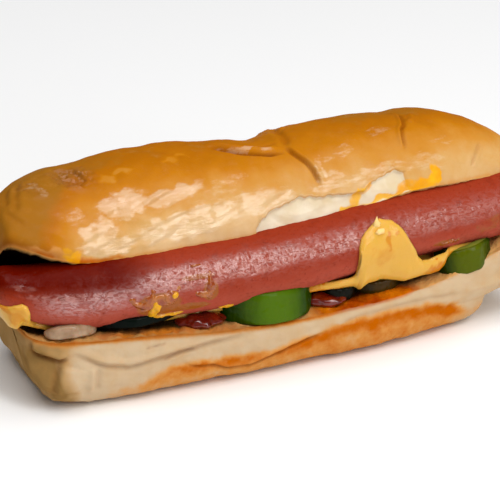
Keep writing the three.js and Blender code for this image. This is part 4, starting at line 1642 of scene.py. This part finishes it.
@dataclass(frozen=True)
class Studio:
    """A pale floor, soft boxes before and above the hot dog, pale surroundings and the camera."""

    target: tuple[float, float, float] = (-5.9, -3.1, 27.9)
    distance: float = 580.0
    azimuth: float = 24.5
    elevation: float = 24.0
    lens: float = 146.16
    sensor: float = 36.0
    clip: tuple[float, float] = (0.01, 20.0)
    floor_size: float = 6000.0
    floor_colour: Colour = (252, 252, 252)
    surroundings: float = 0.2
    lamps: tuple[Lamp, ...] = (
        Lamp("front_box", 20.0, 36.0, 900.0, (240.0, 1000.0), 4.4),
        Lamp("top_box", 0.0, 80.0, 2000.0, (2200.0, 2200.0), 36.0),
    )

    def build(self) -> None:
        """Makes the floor, the lights and the camera."""
        half = self.floor_size * MM / 2
        mesh = bpy.data.meshes.new("studio_floor")
        corners = [(-half, -half, 0), (half, -half, 0), (half, half, 0), (-half, half, 0)]
        mesh.from_pydata(corners, [], [(0, 1, 2, 3)])
        paint = Graph("studio_floor")
        mesh.materials.append(paint.finish(Base_Color=linear(self.floor_colour), Roughness=0.9))
        floor = bpy.data.objects.new("studio_floor", mesh)
        bpy.context.scene.collection.objects.link(floor)
        scene = bpy.context.scene
        scene.world = bpy.data.worlds.new("studio")
        scene.world.use_nodes = True
        sky = scene.world.node_tree.nodes["Background"]
        sky.inputs["Color"].default_value = (1.0, 1.0, 1.0, 1.0)
        sky.inputs["Strength"].default_value = self.surroundings
        for lamp in self.lamps:
            light = bpy.data.lights.new(lamp.name, "AREA")
            light.shape = "RECTANGLE"
            light.size, light.size_y = (side * MM for side in lamp.size)
            light.energy = lamp.power
            self.aim(bpy.data.objects.new(lamp.name, light), lamp.azimuth, lamp.elevation, lamp.distance)
        camera = bpy.data.cameras.new("camera")
        camera.lens, camera.sensor_width = self.lens, self.sensor
        camera.clip_start, camera.clip_end = self.clip
        seat = bpy.data.objects.new("camera", camera)
        self.aim(seat, -self.azimuth, self.elevation, self.distance)
        scene.camera = seat
        scene.view_settings.view_transform = "Standard"
        scene.view_settings.look = "None"

    def aim(self, thing: bpy.types.Object, azimuth: float, elevation: float, distance: float) -> None:
        """Puts a lamp or camera that far from the target, azimuth degrees right of the front, facing it."""
        turn, rise = math.radians(azimuth), math.radians(elevation)
        away = Vector((math.sin(turn) * math.cos(rise), -math.cos(turn) * math.cos(rise), math.sin(rise)))
        thing.location = (Vector(self.target) + away * distance) * MM
        thing.rotation_mode = "QUATERNION"
        thing.rotation_quaternion = (-away).to_track_quat("-Z", "Y")
        bpy.context.scene.collection.objects.link(thing)


# ---------- the hot dog ----------

UPPER = UpperHalf(
    left=-81.5, right=83.5, plan_power=(10.0, 4.0), crown_power=(4.6, 2.65), station_power=5.0,
    outline_power=2.3, bulge=2.2, curl=0.2, depth=30.0, hinge_y=20.6, hinge_z=18.4,
    rim=Rim(-18.9, 0.35, 39.3, (Rise(10.5, -54.0, -27.0, RiseKind.POWER), Rise(5.0, 4.0, 38.0))),
    stations=400, outline=190, front_share=0.42, cut_steps=40, outwards=1.0,
    lobes=(Lobe(-81.0, 10.0, -3.4), Lobe(-63.0, 9.0, 1.2), Lobe(-36.0, 20.0, 2.4), Lobe(0.0, 6.0, -1.3),
           Lobe(17.0, 12.0, 0.9), Lobe(57.0, 10.0, 2.2)),
    folds=(
        Fold("roll's lower crease", ((-16, 31), (-12, 28.4), (-8, 26.2), (-1.5, 24), (4, 23.6)),
             1.2, 0.45, 0, 1, 0.9),
        Fold("roll", ((-17, 34), (-12, 30.6), (-8, 28.2), (-1.5, 26), (4.5, 25.6)), -1.3, 1.1, 0, 1, 0),
        Fold("roll's upper crease", ((-15, 35), (-12, 33), (-8, 30.6), (-1.5, 28.4), (4, 28.4)),
             0.6, 0.5, 0, 1, 0.35),
        Fold("diagonal crease", ((5, 26), (6.5, 22), (8.5, 18.7), (10, 15), (10.6, 10.5)), 1.2, 0.6, 0.6),
        Fold("valley beside the big lobe", ((8.5, 42), (7.5, 36), (6.8, 30), (5.5, 26)),
             0.9, 1.3, 0.3, -1, 0.2),
        Fold("small knob", ((5, 45), (8, 41), (10, 37)), -0.7, 1.4, 0.0, 1, 0.0),
        Fold("pinch", ((43, 32), (44.5, 27), (42.5, 21), (41, 19.8), (39.6, 16), (39, 12.3)),
             1.0, 0.5, 0.6, -1),
        Fold("pinch's blob", ((47.6, 27), (47.2, 24), (44.6, 22)), -0.8, 1.1, 0.0, 1, 0.0),
        Fold("right nick", ((65, 11), (62.3, 8), (59, 3.6)), 0.5, 0.5, 0.25, 1, 0.2),
        Fold("left end wrinkle", ((-74.3, 28), (-76.5, 21), (-78, 14)), 0.45, 1.0, 0.3, 1, 0.12),
        Fold("second end wrinkle", ((-71.5, 28), (-74.5, 19), (-76.7, 10.7)), 0.35, 1.0, 0.3, 1, 0.1),
        Fold("end wrinkle above the rim", ((-79, 12), (-77.5, 9), (-75, 8)), 0.35, 0.9, 0.3, 1, 0.12),
        Fold("dent's rim", ((-62.5, 29.5), (-59, 27), (-56.5, 24.5), (-56, 22)), 0.45, 0.45, 0.4, -1, 0.25),
        Fold("dent's upper rim", ((-61, 33), (-58, 32.5), (-56, 30), (-54.5, 27)), 0.35, 0.45, 0.4, 1, 0.2),
        Fold("lower streak", ((-44, 11.6), (-37.5, 13), (-27.5, 14.3)), -0.35, 0.6, 0.0, 1, 0.0),
        Fold("upper streak", ((-43.3, 13.3), (-35, 16.6), (-25.3, 17.5)), -0.4, 0.6, 0.0, 1, 0.0),
        Fold("long streak", ((-47.6, 5.2), (-38.5, 8.7), (-26, 11.4), (-12.5, 11)), -0.35, 0.7, 0, 1, 0),
    ),
    torn_line=Profile((
        (-11.0, 0.5), (-10.4, 3.2), (-8.8, 4.9), (-3.0, 7.2), (3.4, 8.6), (12.4, 7.3),
        (18.8, 5.4), (22.5, 5.2), (25.7, 6.3), (33.0, 7.6), (38.0, 6.0),
    )),
    # Where the crust is glossy and gets a painted highlight.
    gloss_and_highlight_blots=(
        Blot(-46.5, 15.5, 6.0, 4.6, 12), Blot(-33.0, 15.5, 10.5, 2.6, 10), Blot(-55.0, 8.0, 5.0, 4.0, 40),
        Blot(-53.0, 4.0, 9.0, 2.4), Blot(-29.0, 7.0, 17.0, 4.2, 6), Blot(-8.0, 9.5, 12.0, 3.4, 0, 0.9),
        Blot(14.0, 10.5, 6.0, 2.6, 0, 0.6), Blot(29.0, 8.4, 13.0, 2.4, 0, 0.6),
        Blot(45.0, 8.0, 6.0, 3.0, 0, 0.6), Blot(-62.0, 13.0, 3.0, 2.6, 0, 0.45),
        Blot(-17.0, 16.0, 7.0, 3.0, 20, 0.5), Blot(20.0, 18.5, 5.0, 1.8, 0, 0.5),
        Blot(34.0, 21.0, 5.0, 2.0, 0, 0.5), Blot(52.0, 13.5, 3.6, 1.6, 0, 0.45),
        Blot(-6.0, 27.6, 9.0, 1.0, -14, 0.7), Blot(12.4, 15.5, 1.3, 4.6, -20, 0.7),
        Blot(-69.0, 23.0, 2.0, 3.6, 10, 0.55),
    ),
    stains=(
        Blot(-64.0, 1.6, 3.6, 1.7, 20, 0.6), Blot(-66.5, 3.4, 2.0, 1.8, 0, 0.35),
        Blot(17.5, 1.0, 5.0, 1.8, 0, 0.9), Blot(20.6, 3.6, 2.2, 3.0, 0, 0.8),
        Blot(23.5, 5.8, 2.0, 1.3, 0, 0.6), Blot(34.0, 0.8, 12.0, 1.2, 0, 0.9),
        Blot(38.0, 2.0, 6.0, 1.6, 4, 0.7), Blot(46.2, 3.9, 1.9, 3.2, 0, 0.95),
        Blot(43.0, 1.8, 3.6, 1.5, 0, 0.8),
    ),
    toasts=(Blot(30.0, 1.0, 6.0, 0.9, 0, 0.7), Blot(-60.0, 0.8, 9.0, 1.1, 0, 0.6),
            Blot(-70.5, 1.6, 4.0, 1.6, 0, 0.5)),
    flecks=(Blot(-48.5, 24.0, 2.8, 1.5, 0, 0.8), Blot(-43.0, 25.6, 2.8, 1.2, 0, 0.8),
            Blot(-30.0, 27.8, 3.0, 0.9, 0, 0.6), Blot(-25.0, 28.6, 2.0, 0.8, 0, 0.6)),
    dents=(Blot(-58.5, 29.0, 3.6, 5.0, 20),),
    wrinkles=(Blot(-58.0, 27.5, 5.0, 5.5, 20), Blot(-70.0, 22.5, 2.6, 4.0, 0, 0.6),
              Blot(9.0, 40.0, 6.0, 4.0, 0, 0.5)),
)

LOWER = LowerHalf(
    left=-78.5, right=79.5, plan_power=(6.0, 5.5), crown_power=(14.0, 14.0), station_power=8.0,
    outline_power=5.0, bulge=1.3, curl=0.12, depth=20.0, hinge_y=20.6, hinge_z=21.6,
    rim=Rim(-26.9, 0.3, 15.4, (
        Rise(4.8, -5.0, -62.0), Rise(3.0, -70.0, -12.0, RiseKind.POWER),
        Rise(9.0, 6.0, 62.0, RiseKind.POWER, 2.6, 1.08),
    )),
    stations=400, outline=180, front_share=0.3, cut_steps=50, outwards=-1.0,
    folds=(
        Fold("left end crease", ((-77.4, 1), (-77, 4), (-73.7, 4.2), (-71.2, 5.1), (-69, 4)),
             1.5, 0.7, 1.0, -1, 0.55),
        Fold("soft roll's top", ((-69, 4), (-67, 3.6), (-60.7, 6.9), (-53, 8.4), (-47, 7), (-38, 4.8),
                                 (-27.6, 2.9), (-17, 1.7)), 0.8, 0.75, 0.7, -1, 0.2),
        Fold("upright crease", ((-61.5, 7.4), (-62.5, 11), (-64.4, 15)), 0.6, 0.8, 0.7, 1, 0.12),
        Fold("facet's left edge", ((-71.2, 5.3), (-73, 9), (-74.5, 12.5), (-76.5, 17)),
             0.8, 1.0, 0.6, -1, 0.2),
        Fold("facet's swelling", ((-67.5, 7), (-69, 10.5), (-71, 15)), -0.8, 2.6, 0, 1, 0),
        Fold("flank's fold", ((-78.2, 3), (-78.3, 8), (-78.4, 13)), 0.5, 0.9, 0.5, -1, 0.12),
        Fold("short crease", ((-48, 3.3), (-45, 2.8), (-41.8, 2.1)), 0.35, 0.35, 0.2, 1, 0.3),
        Fold("second short crease", ((-44, 7.2), (-37, 4.9), (-32, 4.3)), 0.35, 0.4, 0.2, 1, 0.3),
        Fold("dark crease", ((-37.6, 7.5), (-35, 9.6), (-28.7, 10), (-24.5, 11.5), (-17, 11.6),
                             (-10.8, 9.4), (-5.5, 7.7), (-1.3, 6.6), (7.6, 4.8)), 0.75, 0.5, 0.35, -1, 0.5),
        Fold("groove over the band", ((7.6, 4.6), (14, 3), (22, 2.5), (30, 2.8), (40, 3.6), (53, 6.9)),
             0.5, 0.8, 0.25, 1, 0.12),
    ),
    band_top=Profile((
        (-62, 6.5), (-50, 7.7), (-40, 10.9), (-23, 10.3), (-11, 9.8), (1, 11.6),
        (14, 13.9), (27, 14.0), (40, 13.2), (53, 12), (62, 10.4), (70, 8),
    )),
    # Painted shade along the left corner.
    corner_shade=(Blot(-75.5, 10.5, 3.0, 8.0, 0, 0.5),),
    soaked=(Blot(20.0, 2.0, 17.0, 5.0), Blot(-24.0, 2.0, 8.0, 3.0, 0, 0.5),
            Blot(-66.0, 1.0, 11.0, 2.5, 0, 0.35), Blot(-46.0, 3.0, 20.0, 3.0, 0, 0.6)),
)

CHEESE_RIM = Profile((
    (-85.0, 214), (-83.5, 205), (-81.5, 191), (-79.6, 183), (-78.3, 186), (-77.7, 200), (-77.4, 216),
    (-76.8, 233), (-75.0, 248), (-64.0, 254), (-55.0, 256), (-1.0, 254), (4.0, 238), (12.0, 225),
    (15.6, 221), (16.4, 216), (16.5, 205), (16.5001, 168.5986), (17.4, 156), (18.9, 146),
    (20.7, 140), (22.8, 134), (24.2, 132), (25.3, 135), (27.7, 140), (29.7, 151), (31.3, 164),
    (33.1, 182), (34.8, 196), (36.0, 210), (37.8, 218), (39.9, 219), (42.3, 218), (44.4, 216),
    (46.5, 217), (48.4, 220), (51.4, 225), (55.2, 228), (59.1, 231), (63.5, 236),
))
CHEESE_HANG = Profile((
    (-85.0, 0.0), (-83.9, 0.3), (-82.4, 2.0), (-80.7, 1.8), (-79.0, 0.1), (-77.0, 0.0), (4.0, 0.0),
    (8.0, 0.3), (11.9, 1.0), (15.6, 1.4), (17.2, 1.8), (18.4, 3.0), (19.6, 2.5), (21.3, 1.9),
    (25.3, 1.8), (28.4, 2.8), (32.6, 4.1), (38.0, 4.2), (41.4, 4.3), (44.2, 4.1), (46.0, 3.2),
    (47.2, 1.4), (48.8, 0.5), (52.0, 0.0), (63.5, 0.0),
))
GREASES = (
    Blot(44.0, 238.0, 5.0, 14.0, 0, 1.0), Blot(47.6, 226.0, 2.4, 10.0, 0, 1.0),
    Blot(38.0, 245.0, 6.0, 8.0, 0, 0.6), Blot(9.0, 245.0, 8.0, 12.0, 0, 1.0),
    Blot(-81.0, 214.0, 2.6, 15.0, 0, 0.65), Blot(-82.0, 203.0, 4.0, 20.0, 0, 0.5),
    Blot(-84.2, 207.0, 2.2, 13.0, 0, 0.9), Blot(25.6, 172.0, 0.9, 14.0, 0, 0.7),
    Blot(24.5, 190.0, 3.2, 20.0, 0, 0.4), Blot(20.5, 176.0, 1.6, 10.0, 0, 0.35),
    Blot(28.5, 166.0, 0.8, 5.0, 0, 0.6),
)

SAUCES = (
    Blot(-43.0, 194, 6.0, 22, 0, 1.1), Blot(-28.5, 182, 2.2, 18), Blot(-34.0, 208, 6.0, 9, 0, 0.8),
    Blot(-32.0, 156, 5.0, 5, 0, 0.8), Blot(70.0, 190, 16.0, 22, 0, 0.45), Blot(46.0, 205, 5.0, 8, 0, 0.6),
)
WETS = (
    Blot(-64.0, 166, 16.0, 9, 0, 0.8), Blot(-34.0, 155, 14.0, 20), Blot(-16.0, 151, 18.0, 18),
    Blot(11.0, 155, 12.0, 14, 0, 1.1), Blot(-79.0, 150, 4.0, 8, 0, 0.5), Blot(46.0, 160, 24.0, 20, 0, 0.65),
    Blot(0.0, 138, 40.0, 14, 0, 0.45), Blot(41.0, 150, 7.0, 9, 0, 0.8),
)
SCRATCHED = (Blot(44.0, 151, 3.6, 11), Blot(50.0, 204, 3.0, 5, 0, 0.7))
BLISTERS = (
    Blister(-59.3, 176, 1.7, 0.4, 0.35), Blister(-61.5, 169, 0.9, 0.3, 0.25),
    Blister(-66.0, 146, 0.0, 0.5, 0.35), Blister(-62.5, 144, 0.0, 0.35, 0.25),
    Blister(-45.0, 138, 0.0, 0.4, 0.3), Blister(-77.6, 164, 0.0, 0.5, 0.35),
    Blister(-50.5, 196, 0.0, 0.4, 0.25), Blister(37.6, 150, 0.0, 0.7, 0.45),
    Blister(39.6, 157, 0.0, 0.5, 0.4), Blister(36.6, 143, 0.0, 0.45, 0.35),
    Blister(52.0, 176, 0.0, 0.35, 0.3), Blister(47.5, 208, 2.2, 0.35, 0.3),
)

PEPPERS = (
    (RingSlice("pepper_slice_left", -47.0, -10.0, 20.6, 15.0, 4.0, 2.8, 217, 315, 9, -2, 0.2, 1), "dark"),
    (RingSlice("pepper_slice_front", -8.2, -11.9, 18.9, 16.2, 4.4, 9.4, 202, 331, 7, -1, 0.3, 2), "bright"),
    (RingSlice("pepper_slice_dark", 14.2, -17.0, 18.4, 6.6, 3.2, 4.0, 190, 340, 4, 0, 0.15, 3), "black"),
    (RingSlice("pepper_slice_edge", 27.6, -12.8, 17.4, 9.6, 3.2, 3.8, 212, 335, 5, -2, 0.15, 4), "olive"),
    (RingSlice("pepper_slice_right", 54.4, -16.5, 21.4, 9.6, 3.8, 7.8, 195, 345, 8, -4, 0.25, 5), "green"),
)

PEPPER_FINISHES = {
    # The left slice lies under the sausage: its near-black colours are partly its own dark green and partly
    # painted shade.
    "dark": PepperFinish("pepper_dark_and_shaded", (1, 2, 1), (5, 14, 9), (8, 14, 6), 0.04, specular=0.04),
    "bright": PepperFinish("pepper_bright", (18, 48, 0), (74, 104, 6), (108, 134, 40), 0.12),
    "black": PepperFinish("pepper_black", (6, 6, 2), (16, 16, 6), (26, 26, 10), 0.12),
    "olive": PepperFinish("pepper_olive", (34, 30, 5), (70, 52, 12), (84, 70, 20), 0.2),
    "green": PepperFinish("pepper_green", (26, 50, 0), (80, 90, 2), (128, 140, 50), 0.12),
}

ONION = RingSlice("onion_slice", -66.5, -13.5, 20.9, 9.9, 3.8, 3.8, 214, 338, 12, 3, 0.1, 6,
                  section=3.6, cap=1.3)

DABS = (
    Dab("ketchup_left", -29.0, -19.6, 18.2, 14.0, 11.0, 4.8, 1),
    Dab("ketchup_right", 10.2, -20.6, 17.0, 12.0, 8.6, 4.4, 2),
)

SMEARS = (
    Smear(-44.4, 200, 1.5, 18, 0.6, 12, 0.35, 1),
    Smear(-43.0, 220, 6.4, 4.0, 0.55, 0, 0.35, 2),
    Smear(-38.9, 181, 1.2, 6, 0.7, -20, 0.3, 3),
    Smear(-24.0, 226, 2.6, 3.0, 0.5, 0, 0.4, 6),
)
FILMS = (
    Smear(-40.4, 182, 2.4, 14, 0.5, 0, 0.35, 11),
    Smear(-45.0, 190, 4.6, 20, 0.3, 10, 0.45, 16),
    Smear(-28.6, 176, 1.2, 20, 0.55, 6, 0.3, 12),
    Smear(-31.0, 186, 2.6, 6, 0.4, 0, 0.4, 13),
    Smear(-31.6, 137, 1.8, 3.0, 0.35, 0, 0.5, 14),
    Smear(47.0, 205, 3.0, 4.0, 0.35, 0, 0.5, 15),
)
SCRAPS = (
    Bit(22.6, 140.0, 1.5, (1.5, 0.8, 2.2), 1, 0.8), Bit(22.9, 152.0, 1.8, (1.5, 0.5, 0.8), 2),
    Bit(58.5, 236.0, 3.0, (1.6, 1.0, 1.0), 3),
)


def main() -> None:
    """Builds the hot dog piece by piece, then the studio around it."""
    logging.basicConfig(level=logging.INFO)
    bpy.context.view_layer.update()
    upper = BreadFinish("bun_crust", (
        (0.0, (216, 180, 134)), (1.0, (158, 101, 25)), (0.22, (206, 159, 96)), (0.44, (199, 136, 54)),
        (0.66, (189, 116, 15)), (0.85, (174, 101, 8)),
    ))
    lower = BreadFinish("bun_base", (
        (0.0, (202, 176, 142)), (1.0, (146, 112, 64)), (0.3, (196, 163, 122)), (0.6, (180, 144, 96)),
    ), roughness=0.55, coat=0.5, grain=0.14)
    UPPER.build(upper)
    LOWER.build(lower)
    Sausage(sauces=SAUCES, wets=WETS, scratched=SCRATCHED, blisters=BLISTERS).build(SausageFinish())
    CheeseSheet(rim=CHEESE_RIM, hang=CHEESE_HANG, greases=GREASES).build(CheeseFinish("cheese"))
    smear = CheeseFinish("cheese_smear", (222, 158, 24), (160, 80, 6))
    install("cheese_smears", [spec.skin() for spec in SMEARS], smear.build())
    scrap = CheeseFinish("cheese_scrap", (244, 206, 130), (236, 186, 100))
    install("cheese_scraps", [spec.skin() for spec in SCRAPS], scrap.build())
    film = WetFinish("sauce_film", (138, 52, 4), (176, 98, 10), 0.22, 1.0, 0.05, lumps=2.6)
    install("sauce_films", [spec.skin() for spec in FILMS], film.build())
    for spec, kind in PEPPERS:
        install(spec.name + "_looks", [spec.skin()], PEPPER_FINISHES[kind].build(), spec.name)
    onion = WetFinish("onion", (146, 114, 82), (184, 154, 124), 0.3, 0.4, 0.4, lumps=4.0, relief=0.2)
    install("onion_piece", [ONION.skin()], onion.build(), ONION.name)
    ketchup = WetFinish("ketchup", (84, 10, 4), (124, 32, 6), 0.2, 1.0, 0.05, lumps=3.4, relief=0.16)
    for dab in DABS:
        install(dab.name + "_heap", [dab.skin()], ketchup.build(), dab.name)
    Studio().build()


if __name__ == "__main__":
    main()
